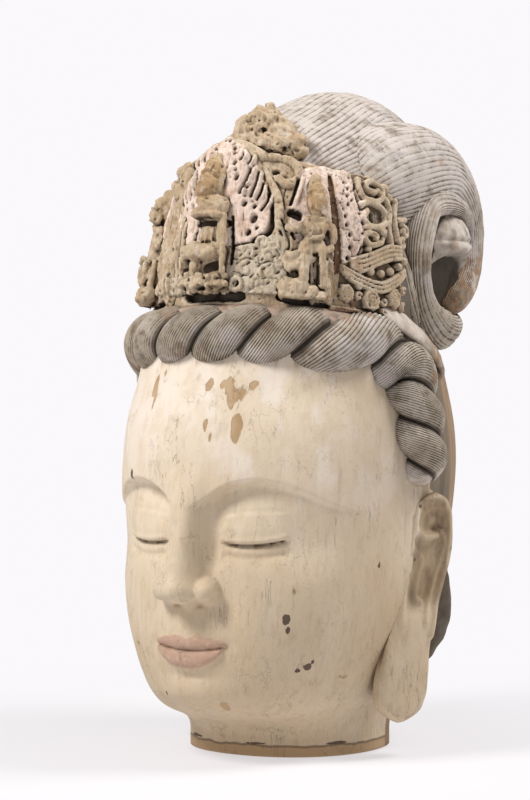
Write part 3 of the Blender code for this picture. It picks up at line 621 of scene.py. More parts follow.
def hairRoll():
    piece, u, s = sheetOf("hairRoll", roll["grooves"] * 4, roll["rows"])
    column = 2 * math.pi * u
    side = np.where(s >= 0.5, 1.0, -1.0)
    reach = np.abs(2 * s - 1)
    angle = column - side * rollTurn(reach) + math.pi * (side > 0)
    closing = np.sqrt(np.clip(1 - np.abs(2 * s - 1) ** 20, 0, 1))
    tangent = unit(rollPath(np.minimum(s + 0.006, 1)) - rollPath(np.maximum(s - 0.006, 0)))
    centre = rollPath(s)
    normal = np.stack([centre[:, 0], centre[:, 1], 0 * s], 1)
    normal = unit(normal - tangent * (normal * tangent).sum(1, keepdims=True))
    across = np.cross(tangent, normal)
    bulge = np.abs(np.cos(column))
    size = roll["radius"] * (0.60 + 0.44 * bulge**0.5) * curveThrough(reach, roll["swell"])
    flat = 1 - 0.20 * blend(reach, 0.45, 0.75) * (np.cos(angle) > 0)
    ring = (np.cos(angle) * flat)[:, None] * normal + np.sin(angle)[:, None] * across
    rough = centre + ring * size[:, None]
    comb = np.abs(np.sin(roll["grooves"] * column / 2))
    worn = 0.45 + 0.55 * blend(mottle(rough, 0.030, 5), -0.8, 0.2)
    size = size - roll["grooveDepth"] * worn * (1 - comb**0.7) + 0.0003 * mottle(rough, 0.009, 6)
    points = centre + ring * (size * closing)[:, None]
    ragged = reach + 0.012 * mottle(rough, 0.008, 8)
    # the crevices between the twisted lobes are painted dark as shade; the ragged ends are bare wood
    return closeUp(piece, points, comb=1 - comb, stain=0.9 * blend(bulge, 0.40, 0.08),
                   bare=blend(ragged, 0.955, 0.965))


# Ears

earShape = dict(height=0.199, width=0.057, thickness=0.018, stand=0.007, back=0.009, turn=20, top=0.625)


def earPlace(side):
    plan = earShape
    top = head["chinLevel"] + head["faceHeight"] * plan["top"]
    turn = math.radians(plan["turn"])

    def place(back, down, out):
        # metres back from the ear's middle, share of its height down, metres out
        x = head["halfWidth"] + plan["stand"] + out * math.cos(turn) + back * math.sin(turn)
        x = x - 0.10 * plan["height"] * down - (0 if side > 0 else 0.007 * blend(down, 0.5, 1.0))
        y = plan["back"] + back * math.cos(turn) - out * math.sin(turn) - 0.12 * plan["height"] * down
        return np.stack([side * x, y, top - plan["height"] * down], 1)

    return place


def longEar(side):
    piece, u, t = sheetOf("longEar", 100, 150, side)
    around = 2 * math.pi * np.interp(u, [0, 0.72, 1], [0, 0.5, 1])
    down = np.interp(t, [0, 1], [-0.005, 1.0])  # share of the ear's height, from its top
    front = curveThrough(
        down, [(-0.005, -0.10), (0.03, -0.28), (0.10, -0.40), (0.22, -0.40), (0.40, -0.38), (0.55, -0.46),
               (0.70, -0.59), (0.84, -0.61), (0.94, -0.48), (1.0, -0.16)])
    rear = curveThrough(
        down, [(-0.005, 0.05), (0.02, 0.24), (0.06, 0.35), (0.13, 0.42), (0.22, 0.46), (0.31, 0.46),
               (0.42, 0.40), (0.50, 0.34), (0.58, 0.30), (0.68, 0.29), (0.80, 0.34), (0.90, 0.34),
               (0.97, 0.20), (1.0, -0.02)])
    closing = np.sqrt(np.clip(1 - np.abs(2 * t - 1) ** 24, 0, 1))
    middle, half = (front + rear) / 2, (rear - front) / 2
    a = middle - half * np.cos(around) * closing
    # the front edge thins out towards the cheek above the lobe
    thin = 0.5 + 1.1 * blend(np.cos(around), -0.1, 0.5) * (1 - blend(down, 0.60, 0.74))
    edge = np.abs(np.sin(around)) ** thin * closing
    outer = np.sin(around) > 0
    relief = np.zeros_like(a)

    def gapTo(back, level):
        return np.hypot((a - back) * earShape["width"], (down - level) * earShape["height"])

    def fold(points, width, height):
        nonlocal relief
        line = curveThrough(np.linspace(0, 1, 260), spaced(points))
        gap = np.min([gapTo(*point) for point in line], axis=0)
        relief = smoothMax(relief, relief + height * np.exp(-((gap / width) ** 3)), 0.0004)

    relief -= 0.0065 * blend(0.60 - down, 0.0, 0.16) * blend(0.44 - np.abs(a - 0.06), 0.0, 0.10)
    # helix curling in over the hollow, the ridge inside it, the small flap in front
    fold([(0.07, 0.187), (-0.20, 0.185), (-0.36, 0.12), (-0.33, 0.043), (-0.12, 0.018), (0.18, 0.043),
          (0.34, 0.13), (0.38, 0.21), (0.36, 0.36), (0.30, 0.50), (0.24, 0.62)], 0.0040, 0.0050)
    fold([(-0.06, 0.135), (0.04, 0.118), (0.02, 0.150), (-0.07, 0.150)], 0.0032, 0.0018)
    fold([(0.20, 0.16), (0.26, 0.243), (0.18, 0.364), (0.12, 0.46), (0.06, 0.56)], 0.0030, 0.0030)
    fold([(-0.36, 0.22), (-0.24, 0.26), (-0.13, 0.30), (-0.16, 0.387), (-0.18, 0.442), (-0.06, 0.47)],
         0.0032, 0.0022)
    # the upper hollow, painted dark as shade at its foot, and the long hollow under it
    upper = np.hypot((a - 0.02) / 0.22, (down - 0.125) / 0.060)
    relief -= 0.0032 * (1 - blend(upper, 0.75, 1.0))
    foot = np.exp(-(((a - 0.10) / 0.17) ** 2 + ((down - 0.158) / 0.020) ** 2))
    relief -= 0.0030 * foot
    long = np.hypot((a - 0.0) / 0.13, (down - 0.40) / 0.085)
    relief -= 0.0026 * (1 - blend(long, 0.7, 1.0))
    out = np.where(outer, (earShape["thickness"] * 0.5 + relief) * edge, -0.012 * edge)
    points = earPlace(side)(a * earShape["width"], down, out)
    # brown paint on the ear's upper half and back edge, deeper in its hollows and at the foot of the upper
    # hollow as painted shade
    brown = (1 - blend(down, 0.42, 0.58)) * (0.85 - 0.65 * blend(relief, -0.004, 0.001))
    brown = brown * blend(a, -0.42, -0.20)
    brown = np.maximum(brown, 0.95 * foot)
    behind = blend(down, 0.24, 0.34)
    brown = np.maximum(brown, 0.9 * blend(a, 0.22, 0.34) * behind * (1 - blend(down, 0.52, 0.64)))
    brown = np.maximum(brown, 0.6 * blend(a, 0.24, 0.36) * (1 - behind))
    lost = 0 * a
    for back, level, size in (
        (0.42, 0.245, 0.0022), (-0.29, 0.055, 0.0026), (-0.25, 0.287, 0.0018), (0.19, 0.150, 0.0024),
        (-0.08, 0.345, 0.0014), (0.31, 0.52, 0.0020),
    ):
        lost = np.maximum(lost, np.exp(-((gapTo(back, level) / size) ** 2)) * 0.8)
    return closeUp(piece, points, brown=np.where(outer, brown, 0.8 * (1 - blend(down, 0.7, 0.8))),
                   chip=np.where(outer, lost, 0))


def tieEnd(side):
    # broken end of the crown's tie
    # shares of the head's half width and depth, and of the tie's rise
    shares = [(0.84, -0.20, 1.25), (0.89, 0.02, 0.70), (0.885, 0.22, 0.05), (0.83, 0.44, -0.80)]
    knots = spaced([(side * x * head["halfWidth"], y * head["back"], seat["lowLevel"] + z * 0.024)
                    for x, y, z in shares])
    piece = sweep(
        lambda s: curveThrough(s, knots), lambda s: np.tile([side * 0.8, 0.3, 0.5], (len(s), 1)),
        lambda s, a: (np.full_like(s, 0.005), np.full_like(s, 0.014)), 32, 60,
    )
    named(piece, "tieEnd", side)
    points = pointsOf(piece)
    push(piece, 0.0009 * mottle(points, 0.007, 91))
    far = points[:, 1] / head["back"] + 0.03 * mottle(points, 0.008, 92)
    keepMap(piece, "rusty", blend(far, 0.12, 0.22))
    keepMap(piece, "bare", 0.8 * (1 - blend(far, 0.04, 0.14)))
    bpy.ops.object.shade_smooth()
    return piece


# Crown

crown = dict(
    wall=0.007, radius=0.1315, columns=460, front=165, around=14,
    # degrees round to its ends at shares of its height, and its edge in millimetres up at degrees round
    ends=[(0, 86), (0.3, 89), (0.6, 93), (0.8, 96), (1, 95)],
    edge=[(0, 151), (6, 148), (19, 142), (34, 137), (44, 136), (56, 130), (68, 132), (78, 133),
          (86, 130), (92, 120), (96, 114)],
)


def domePoint(theta, rise, out):
    a, b, c = dome["halfWidth"], dome["depth"], dome["height"]
    flat = np.stack([a * np.cos(rise) * np.sin(theta), -b * np.cos(rise) * np.cos(theta),
                     c * np.sin(rise)], 1)
    normal = unit(flat / np.array([a * a, b * b, c * c]))
    return flat + normal * np.asarray(out)[..., None] + np.array([0, 0, dome["level"]])


def baseRise(theta):
    height = seat["level"] + seat["slope"] * dome["depth"] * np.cos(theta)
    return np.arcsin((height - dome["level"]) / dome["height"])


riseScale = dome["height"] * 1.03  # metres up the crown for each radian of rise


def crownWall():
    columns, rows = crown["columns"], crown["front"] + crown["around"]
    piece, u, t = sheetOf("crownWall", columns, rows)
    # rows go up the front, over the top, down the inside and under
    share = crown["front"] / rows
    stages = [0, share, share + 0.02, 1 - 0.015, 1]
    up = np.interp(t, stages, [0, 1, 1, 0, 0])
    turn = (u * 2 - 1) * curveThrough(up, crown["ends"])
    theta = np.radians(turn)
    low = baseRise(theta)
    top = low + curveThrough(np.abs(turn), crown["edge"]) / 1000 / riseScale
    inner = np.interp(t, stages, [0, 0, 1, 1, 0])
    rise = low - 0.005 + (top - low + 0.005) * up
    height = (rise - low) * riseScale * 1000
    perDegree = crown["radius"] * np.cos(rise) * math.pi / 180 * 1000
    relief, zones = crownRelief(turn, height, perDegree)
    out = (crown["wall"] + relief / 1000) * (1 - inner) - 0.002 * inner
    closing = np.clip((1 - np.abs(2 * u - 1)) * columns / 2, 0, 1)
    out = -0.002 + (out + 0.002) * closing
    closeUp(piece, domePoint(theta, rise, out), **zones)
    findHollows(piece)
    return piece


class Carving:
    # heights in millimetres over a surface laid out in degrees round and millimetres up
    def __init__(self, turn, up, perDegree):
        self.turn, self.up, self.perDegree = turn, up, perDegree
        self.height = np.zeros_like(turn)

    def near(self, points, reach):
        # the places within reach of a line, and how far they are from it and along it
        line = np.array(points, float)
        if len(line) > 1:
            line = curveThrough(np.linspace(0, 1, 10 * len(line)), spaced(line))
        wide = reach / 1.1
        box = (self.turn > line[:, 0].min() - wide) & (self.turn < line[:, 0].max() + wide)
        box &= (self.up > line[:, 1].min() - reach) & (self.up < line[:, 1].max() + reach)
        where = np.flatnonzero(box)
        across = (self.turn[where, None] - line[:, 0]) * self.perDegree[where, None]
        gap = np.hypot(across, self.up[where, None] - line[:, 1])
        nearest = gap.argmin(1)
        gap = gap[np.arange(len(where)), nearest]
        inside = gap < reach
        return where[inside], gap[inside], nearest[inside] / max(len(line) - 1, 1)

    def within(self, points):
        # which places lie inside an outline
        odd = np.zeros(len(self.turn), bool)
        for (x0, y0), (x1, y1) in zip(points, points[1:] + points[:1]):
            if y0 != y1:
                cross = x0 + (self.up - y0) / (y1 - y0) * (x1 - x0)
                odd ^= ((y0 > self.up) != (y1 > self.up)) & (self.turn < cross)
        return odd

    def plate(self, points, level, edge=1.6):
        # raises or lowers what lies inside an outline to a level, with a sloping edge
        share = self.within(points).astype(float)
        where, gap, _ = self.near(points + points[:1], edge)
        share[where] = np.where(share[where] > 0.5, 0.5 + gap / edge / 2, 0.5 - gap / edge / 2)
        self.height += (level - self.height) * share
        return share

    def rib(self, points, width, level, lower=0.0):
        # a rod lying on the surface, its crest at that level, sinking at its ends
        where, gap, along = self.near(points, width)
        crest = level - lower * np.abs(2 * along - 1) ** 3
        top = crest - width * 0.9 * (1 - np.sqrt(1 - (gap / width) ** 2))
        self.height[where] = smoothMax(self.height[where] + 20, top + 20, 0.5) - 20

    def cut(self, points, width, depth, soft=0.45):
        # a slit or a pit
        where, gap, along = self.near(points, width)
        self.height[where] -= depth * blend(width - gap, 0, width * soft)

    def boss(self, x, y, radius, level):
        where, gap, _ = self.near([(x, y)], radius)
        top = level - radius * 0.9 * (1 - np.sqrt(1 - (gap / radius) ** 2))
        self.height[where] = smoothMax(self.height[where] + 20, top + 20, 0.4) - 20


# the crown's width at a height: millimetres to a degree at the widest, radians up at its foot
# and millimetres up to a radian
crownWidth = dict(perDegree=2.295, foot=0.04, perRadian=170)


def coil(x, y, size, start, turns, inner=0.25):
    # points of a spiral in degrees round and millimetres up
    t = np.linspace(0, 1, 10)
    reach = size * (1 - (1 - inner) * t)
    angle = math.radians(start) + 2 * math.pi * turns * t
    rise = crownWidth["foot"] + y / crownWidth["perRadian"]
    perDegree = crownWidth["perDegree"] * math.cos(rise)
    return list(zip(x + reach * np.cos(angle) / perDegree, y + reach * np.sin(angle)))


def leanOut(turn, up):
    # how far the top of the crown's middle leans out
    return 13 * blend(up, 62, 140) * (1 - blend(turn, 10, 27))


def middleHalo(c):
    # halo behind the middle figure, its border cut into flame tongues
    halo = [(-9, 155), (0, 151), (5.0, 143), (10, 139), (17.4, 121.8), (22.4, 102.7), (25.6, 90.8),
            (26.2, 79.4), (24.8, 65.2), (21.8, 56.8), (18.6, 53.9), (14.8, 51.1), (9.0, 48.6), (-9, 48)]
    pink = c.plate(halo, 5.5)
    c.height += leanOut(c.turn, c.up)
    c.cut([(24.6, 96), (26.3, 79.4), (25.2, 66), (22.2, 56.4), (19.0, 53)], 3.6, 6.5)
    for tip, root, width in (
        ((11.0, 95.5), (15.4, 120.5), 2.0), ((16.0, 93), (18.4, 116), 1.9), ((18.8, 90), (20.9, 106), 1.4),
        ((21.0, 81), (24.2, 95.5), 1.7), ((13.4, 121), (14.6, 130), 1.0), ((9.6, 124), (10.6, 131), 1.1),
    ):
        middle = ((tip[0] + root[0]) / 2 + 0.5, (tip[1] + root[1]) / 2 - 1)
        c.cut([tip, middle, root], width, 4.2)
        c.rib([(tip[0] + 1.6, tip[1] - 1), (middle[0] + 1.6, middle[1]), (root[0] + 1.4, root[1] + 1)],
              1.5, 7.2 + leanOut(*middle), 2)
    for x, y, size in ((1.2, 145, 1.4), (5.4, 136.4, 1.8), (6.2, 131, 1.7), (7.2, 121.5, 2.0),
                       (9.0, 108.5, 2.4), (13.6, 85.8, 2.3), (18.0, 83.6, 1.9), (18.0, 73.0, 3.4),
                       (16.0, 60.5, 2.6), (14.0, 100, 1.6), (4.6, 141, 1.2), (8.2, 115, 1.4),
                       (19.5, 64.5, 1.5)):
        c.cut([(x - 0.25, y - size * 0.4), (x + 0.25, y + size * 0.4)], size, 4.0 + size * 0.6)
    c.cut([(8.4, 48.6), (13.6, 50.6), (18.2, 49.8), (22, 54.5)], 0.9, 3.0)
    return pink


def greenScroll(c):
    # grey-green scroll between the halos
    c.rib([(13.2, 133), (16.2, 138.5), (18.8, 134)], 4.6, 7.5 + 5)
    c.cut([(14.4, 128.8)], 1.8, 3)
    c.rib([(17.6, 129), (21.6, 136.4), (27.8, 138.6), (34.4, 133.2), (38.0, 122.8), (36.4, 112.8),
           (32.0, 108.5), (27.4, 113.4)], 4.4, 7.6)
    c.cut([(25.4, 121), (27.0, 122)], 3.2, 6)
    c.boss(29.8, 118, 2.8, 6)
    c.rib([(20.4, 126.5), (23.8, 110.5), (27.0, 98.5), (28.4, 85.1), (28.8, 72.4), (29.4, 61.9),
           (31.2, 51.2)], 4.4, 7.2)
    c.cut([(22.6, 122), (25.4, 112)], 1.0, 1.6)
    c.cut([(31.4, 104), (30.4, 94), (31.2, 84)], 0.9, 1.4)


def sideHalo(c):
    # halo behind the side figure, with a red slit and rows of holes
    outline = [(37.6, 119), (41, 127), (47, 131), (53, 134), (59, 136.5), (63, 133.5), (65.2, 121.1),
               (67.2, 106), (67.8, 92), (67.4, 80), (66.2, 68.6), (63.8, 52.7), (59.4, 44.8), (53.4, 38),
               (50, 50), (36, 56), (33.2, 72), (33.8, 88), (35.4, 101.5)]
    side = c.plate(outline, 4.6)
    c.cut([(37.4, 114), (35.8, 102), (33.8, 89)], 1.8, 6)
    c.rib([(40.0, 120), (37.4, 99), (35.4, 86)], 1.9, 7.0, 2)
    c.cut([(35.0, 79.5), (37.4, 77.5)], 4.6, 6.5)
    for x, y, size in ((30.2, 71.5, 1.5), (31.3, 66.5, 1.2), (29.7, 61, 1.4), (35.0, 60.5, 2.6)):
        c.cut([(x - 0.4, y + 1.8), (x + 0.4, y - 1.8)], size, 5)
    rust = [(52.4, 124), (54.6, 124), (55.2, 85), (54.8, 34), (51.6, 30), (51.6, 60), (51.8, 85)]
    groove = c.plate(rust, 1.0, 1.2)
    c.cut([(52.2, 118), (52.4, 85), (52.0, 40)], 1.2, 1.5)
    for x, y, size in ((63.8, 124.1, 1.6), (60.2, 117.7, 1.2), (61.4, 111.6, 1.4), (60.6, 103.8, 1.6),
                       (60.4, 95.7, 1.6), (58.0, 83.6, 1.6), (58.4, 76.0, 1.8), (59.4, 67.4, 2.0),
                       (59.0, 55.8, 2.4), (57.4, 46.1, 1.8), (62.4, 100, 1.0), (57.4, 90, 1.0)):
        c.cut([(x - 0.2, y - 0.8), (x + 0.2, y + 0.8)], size, 4.6)
    for points, width in (
        ([(65.4, 107), (65.9, 99.6), (66.6, 92)], 2.6), ([(65.2, 87.5), (62.2, 78.5)], 1.5),
        ([(66.4, 80.5), (63.2, 69)], 1.6), ([(64.2, 57.5), (62.2, 50.5)], 1.5),
        ([(68.2, 91.7), (65.4, 82)], 1.5), ([(65.6, 70), (63.0, 60)], 1.5),
        ([(66.2, 118), (64.6, 110)], 1.2),
    ):
        c.cut(points, width, 4.6)
    for x, y in ((63.6, 84), (64.4, 74.5), (64.0, 64.5), (61.6, 56), (66.2, 88)):
        c.rib([(x - 2.2, y - 8), (x - 0.2, y - 2.5), (x + 0.9, y + 4.5)], 1.7, 6.6, 2.6)
    return side, groove


def cloudBank(c):
    # clouds between the figures
    cloud = [(8.5, 47.5), (14.8, 50), (18.6, 52), (22, 55), (26, 60), (30, 60), (32, 50), (32.5, 12),
             (30, 8), (10, 8), (7, 20)]
    moss = c.plate(cloud, 5.2)
    for x, y, size, start, turns in (
        (22.6, 52.0, 6.0, 200, -0.9), (26.4, 50.5, 5.5, 30, -0.8), (16.8, 43.0, 6.4, 160, -0.9),
        (24.6, 41.0, 6.2, 20, 0.9), (15.6, 29.0, 6.0, 90, 0.9), (24.8, 27.0, 7.4, 200, -1.0),
        (20.0, 18.6, 5.4, 0, 0.9), (28.2, 19.4, 5.0, 120, -0.9), (29.6, 35.0, 4.6, 60, 0.8),
    ):
        c.boss(x, y, size * 0.95, 6.2)
        c.rib(coil(x, y, size, start, turns), 1.9, 6.9)
    for x, y in ((13.2, 40.8), (16.6, 34.2), (22.2, 37.3), (21.0, 32.1), (27.0, 40.4), (25.2, 32.5),
                 (18.0, 22.9), (22.8, 29.7), (12, 34), (14, 23), (19.4, 46.6), (28.6, 27.2), (19.6, 41),
                 (24.8, 18)):
        c.cut([(x - 0.3, y - 0.5), (x + 0.5, y + 0.7)], 1.2, 1.8)
    for points in ([(10, 38), (13, 36.4), (16, 38.5), (19, 37)],
                   [(19.5, 35), (22, 34), (25, 36.4), (28.4, 34.8)], [(10.2, 27), (13, 25.4), (16, 23.6)],
                   [(20.6, 24.6), (22.4, 21), (24, 22.4)], [(27.8, 46.4), (29.2, 42), (28.2, 38)],
                   [(11, 46), (13.4, 44.4), (15, 47)]):
        c.cut(points, 0.8, 1.4)
    c.rib(coil(11.6, 16.4, 5.4, 90, -0.92, 0.8), 2.2, 8.4)
    c.cut([(11.9, 14.4), (12.6, 18.4)], 1.3, 3.5)
    return moss


def openEnd(c):
    # the open-work end: scrolls over wavy clouds over rosettes
    end = [(66.6, 133), (68, 105), (68.4, 92), (68, 80), (66.8, 66), (64.4, 50), (60, 43), (54, 33),
           (53, 12), (60, 5), (99, -6), (99, 126)]
    # the low ground between the scrolls is painted dark as shade
    dark = c.plate(end, 0.6, 1.4)
    c.rib([(68.8, 124), (68.0, 112.9), (70.4, 104.6), (76.6, 104.2), (82.0, 112), (82.4, 121), (77.4, 125),
           (73.0, 121), (73.4, 114.5), (77.2, 113.6)], 2.7, 7.4)
    c.boss(86.2, 121.6, 5.4, 8.2)
    c.boss(87.6, 113.4, 4.0, 7.4)
    c.rib([(66.9, 97.9), (72.8, 102.0), (78.6, 99.4), (80.6, 90.7), (77.2, 81.4), (70.4, 78.4), (67.2, 84.1),
           (69.4, 92.6)], 2.8, 7.2)
    c.boss(67.2, 97.4, 3.2, 8.0)
    c.cut([(73.4, 91.5), (73.0, 85)], 3.0, 4.5)
    c.rib([(67.4, 76.4), (73.4, 78.2), (77.2, 73.5), (74.2, 64.6), (69.0, 61.2), (66.4, 66.2), (68.8, 72.0),
           (72.4, 71.2), (72.2, 67)], 2.5, 7.4)
    c.boss(67.6, 56.8, 3.0, 7.4)
    c.boss(77.2, 76.6, 3.0, 7.8)
    c.cut([(77.2, 70.9), (76.6, 62.1), (73.6, 55.4)], 2.8, 3.4)
    c.rib([(79.6, 116), (84.4, 107), (84.6, 99), (81.4, 84.0), (81.0, 63)], 2.9, 7.0)
    c.rib([(92.6, 112), (89.6, 103), (86.4, 90.1), (86.0, 72)], 2.6, 7.0)
    c.rib([(90.6, 110.3), (94.8, 114.6), (98.2, 112), (99, 104.3), (95.8, 94.7), (89.4, 92)], 2.7, 7.2)
    c.cut([(95.2, 107), (94.2, 100)], 3.6, 4)
    c.rib(coil(92.4, 82, 6.2, 100, -0.9), 2.4, 7.4)
    c.rib(coil(88.6, 69.4, 5.0, 60, 0.9), 2.2, 7.2)
    for lift in (4.4, 0.6, -3.2, -7.0):
        c.rib([(59.0, 42.4 + lift * 0.6), (62.8, 43.8 + lift), (68.2, 48.4 + lift), (74.6, 55.0 + lift),
               (80.8, 60.0 + lift), (86.8, 61.4 + lift * 0.8)], 1.75, 7.0)
    for lift in (3.6, 0, -3.6):
        c.rib([(54.2, 36.6 + lift * 0.5), (59.0, 31.0 + lift), (64.6, 27.2 + lift), (72.2, 25.6 + lift),
               (80.2, 32.6 + lift), (88.0, 44.0 + lift * 0.6)], 1.7, 6.8)
    c.cut([(80.8, 51.5), (83.4, 48.8)], 2.8, 5)
    for x, y in ((62.6, 37.2), (67.8, 37.6), (73.2, 38.0), (78.8, 41.6), (84.2, 47.8), (88.4, 54)):
        c.boss(x, y, 3.3, 7.6)
    leaves, perDegree = 7, 2.28  # round each rosette, and millimetres to a degree at their height
    for x, y, size in ((68.0, 13.4, 7.4), (80.8, 19.4, 6.6), (56.4, 16.0, 5.6)):
        c.rib(coil(x, y, size, 0, 1.0, 0.9), 1.9, 6.6)
        c.rib(coil(x, y, size * 0.5, 40, 1.0, 0.9), 1.6, 6.4)
        c.boss(x, y, size * 0.28, 6.6)
        for leaf in range(leaves):
            spread = math.radians(leaf * 360 / leaves + 20)
            lx = x + size * 1.15 * math.cos(spread) / perDegree
            c.boss(lx, y + size * 1.15 * math.sin(spread), 2.0, 5.6)
    for x, y, size, start in ((61.8, 14.6, 3.6, 40), (74.8, 14.4, 3.6, 200), (62.2, 23.4, 2.8, 90),
                              (86.8, 27, 4, 30), (75.0, 5.6, 3.4, 150), (87.2, 12.6, 4, 90),
                              (92, 36, 5, 60), (93, 58, 5, 200)):
        c.rib(coil(x, y, size, start, 0.8), 1.5, 6.0)
    return dark


def footLedge(c):
    # the plain ledge under the carving, cut away below the figures
    c.plate([(-9, 9.5), (8, 9), (33, 9), (51, 5.2), (60, 5.0), (99, -3.5), (99, -30), (-9, -30)], 2.2, 1.6)
    c.cut([(-9, 5.5), (12.6, 5.2)], 4.4, 4.5)
    c.cut([(30, 6.0), (38, 3.4), (48, 2.4)], 3.4, 4.0)
    c.rib([(50, 2.4), (62.6, 1.6), (77.8, -1.6), (98, -6.5)], 2.6, 5.0)
    c.cut([(51, -1.0), (62.6, -1.6), (77.8, -4.9), (98, -9.5)], 0.8, 2.5)


def undercuts(c):
    # ragged gaps under and beside the figures, painted dark as the shadow in them
    before = c.height.copy()
    for points, width in (
        ([(-3, 5.4), (2, 6.2), (5.2, 4.8)], 4.6), ([(4.6, 6.6), (7.4, 5.0), (9.6, 6.0)], 3.8),
        ([(8.6, 6.4), (11, 5.2), (13.4, 6.4)], 4.8), ([(29, 6.8), (33.4, 5.4)], 3.4),
        ([(32.4, 5.2), (38, 3.4), (42, 3.6)], 4.0), ([(42.6, 2.8), (48.6, 2.4)], 2.8),
    ):
        c.cut(points, width, 7)
    c.cut([(-2, 68), (6.4, 68.5)], 4.4, 5)
    c.cut([(8.4, 74), (9.2, 60), (9.7, 46), (9.4, 34)], 2.2, 4.5)
    c.cut([(33.8, 81), (37.2, 79.5)], 4.4, 8)
    return blend(before - c.height, 0.6, 2.6)


def crownRelief(turn, up, perDegree):
    # both sides share one layout; the heights and the maps for the paint
    c = Carving(np.abs(turn), up, perDegree)
    c.height += 2.0
    pink = middleHalo(c)
    greenScroll(c)
    side, groove = sideHalo(c)
    moss = cloudBank(c)
    dark = openEnd(c)
    footLedge(c)
    stain = undercuts(c)
    # wear: soft hollows and small losses
    at = np.stack([turn * 2.2, up, 0 * up], 1)
    c.height += 0.45 * mottle(at, 6.0, 11) + 0.35 * mottle(at, 2.6, 12)
    c.height -= 1.6 * blend(mottle(at, 4.2, 13), 0.55, 0.85)
    return c.height, dict(
        stain=stain, pink=np.maximum(pink, side) * (1 - groove), moss=moss,
        rust=np.maximum(groove, 0.8 * blend(c.turn, 48, 54) * (1 - blend(c.up, 2, 5))),
        # painted shade on the open-work's low ground
        dark=dark * (1 - blend(c.height, 1.5, 4.0)),
    )


def crownPlace(theta, stand):
    # maps (along, up, out) beside a vertical line on the crown to the crown's wall
    def place(p):
        rise = baseRise(np.full(len(p), theta)) + p[:, 1] / riseScale
        turn = theta + p[:, 0] / (crown["radius"] * np.cos(np.clip(rise, -1, 1.1)))
        return domePoint(turn, rise, crown["wall"] + p[:, 2] + stand)

    return place


def onCrown(degrees, mirror=1):
    # lumps and rods in millimetres: along, up and out beside a vertical line on the crown
    def put(centre, size, segments=20, rings=14):
        centre = np.array(centre) * (mirror, 1, 1) / 1000
        return ball(centre, np.array(size) / 1000, None, segments, rings)

    def stick(points, radii, flat=1.0):
        points = np.array(points) * (mirror, 1, 1) / 1000
        return rod(points, np.array(radii) / 1000, flat=flat)

    def settle(name, parts, seed, amount=0.0005, pits=(), tawny=(), floor=7.4):
        # pits are lines of (along, up), a radius and a depth in millimetres, none under the floor; the pits
        # are painted dark as shade
        piece = weathered(name, parts, 0.00084, seed, amount)
        points = pointsOf(piece)
        flat = points * (mirror * 1000, 1000, 1000)
        stain, warm = np.zeros(len(points)), np.zeros(len(points))
        for line, radius, depth in pits:
            steps = np.linspace(0, len(line) - 1, 8 * len(line))
            line = np.stack([np.interp(steps, range(len(line)), part) for part in np.array(line).T], 1)
            gap = np.min([np.hypot(flat[:, 0] - x, flat[:, 1] - y) for x, y in line], axis=0) / radius
            press = np.clip(1 - gap**2, 0, 1) ** 0.8
            pressed = np.maximum(points[:, 2] - depth / 1000 * press, floor / 1000)
            points[:, 2] = np.where(points[:, 2] > floor / 1000, pressed, points[:, 2])
            stain = np.maximum(stain, np.clip(depth / 7 * press, 0, 1))
        for x, y, wide, tall in tawny:
            warm = np.maximum(warm, blend(np.hypot((flat[:, 0] - x) / wide, (flat[:, 1] - y) / tall),
                                          1.15, 0.9))
        setPoints(piece, crownPlace(math.radians(degrees) * mirror, 0)(points))
        keepMap(piece, "stain", stain)
        keepMap(piece, "tawny", warm)
        return piece

    return put, stick, settle


def weathered(name, parts, voxel, seed, amount):
    # the parts as one skin, lumpy with age and pitted
    piece = fuse(name, parts, voxel)
    points = pointsOf(piece)
    out = amount * (1.2 * mottle(points, 0.008, seed) + 1.0 * mottle(points, 0.0036, seed + 1))
    out += 0.5 * amount * mottle(points * (1, 1, 0.25), 0.0022, seed + 3)
    out -= 2.4 * amount * blend(mottle(points, 0.0045, seed + 2), 0.45, 0.85)
    push(piece, out)
    findHollows(piece, 6, 12)
    return piece


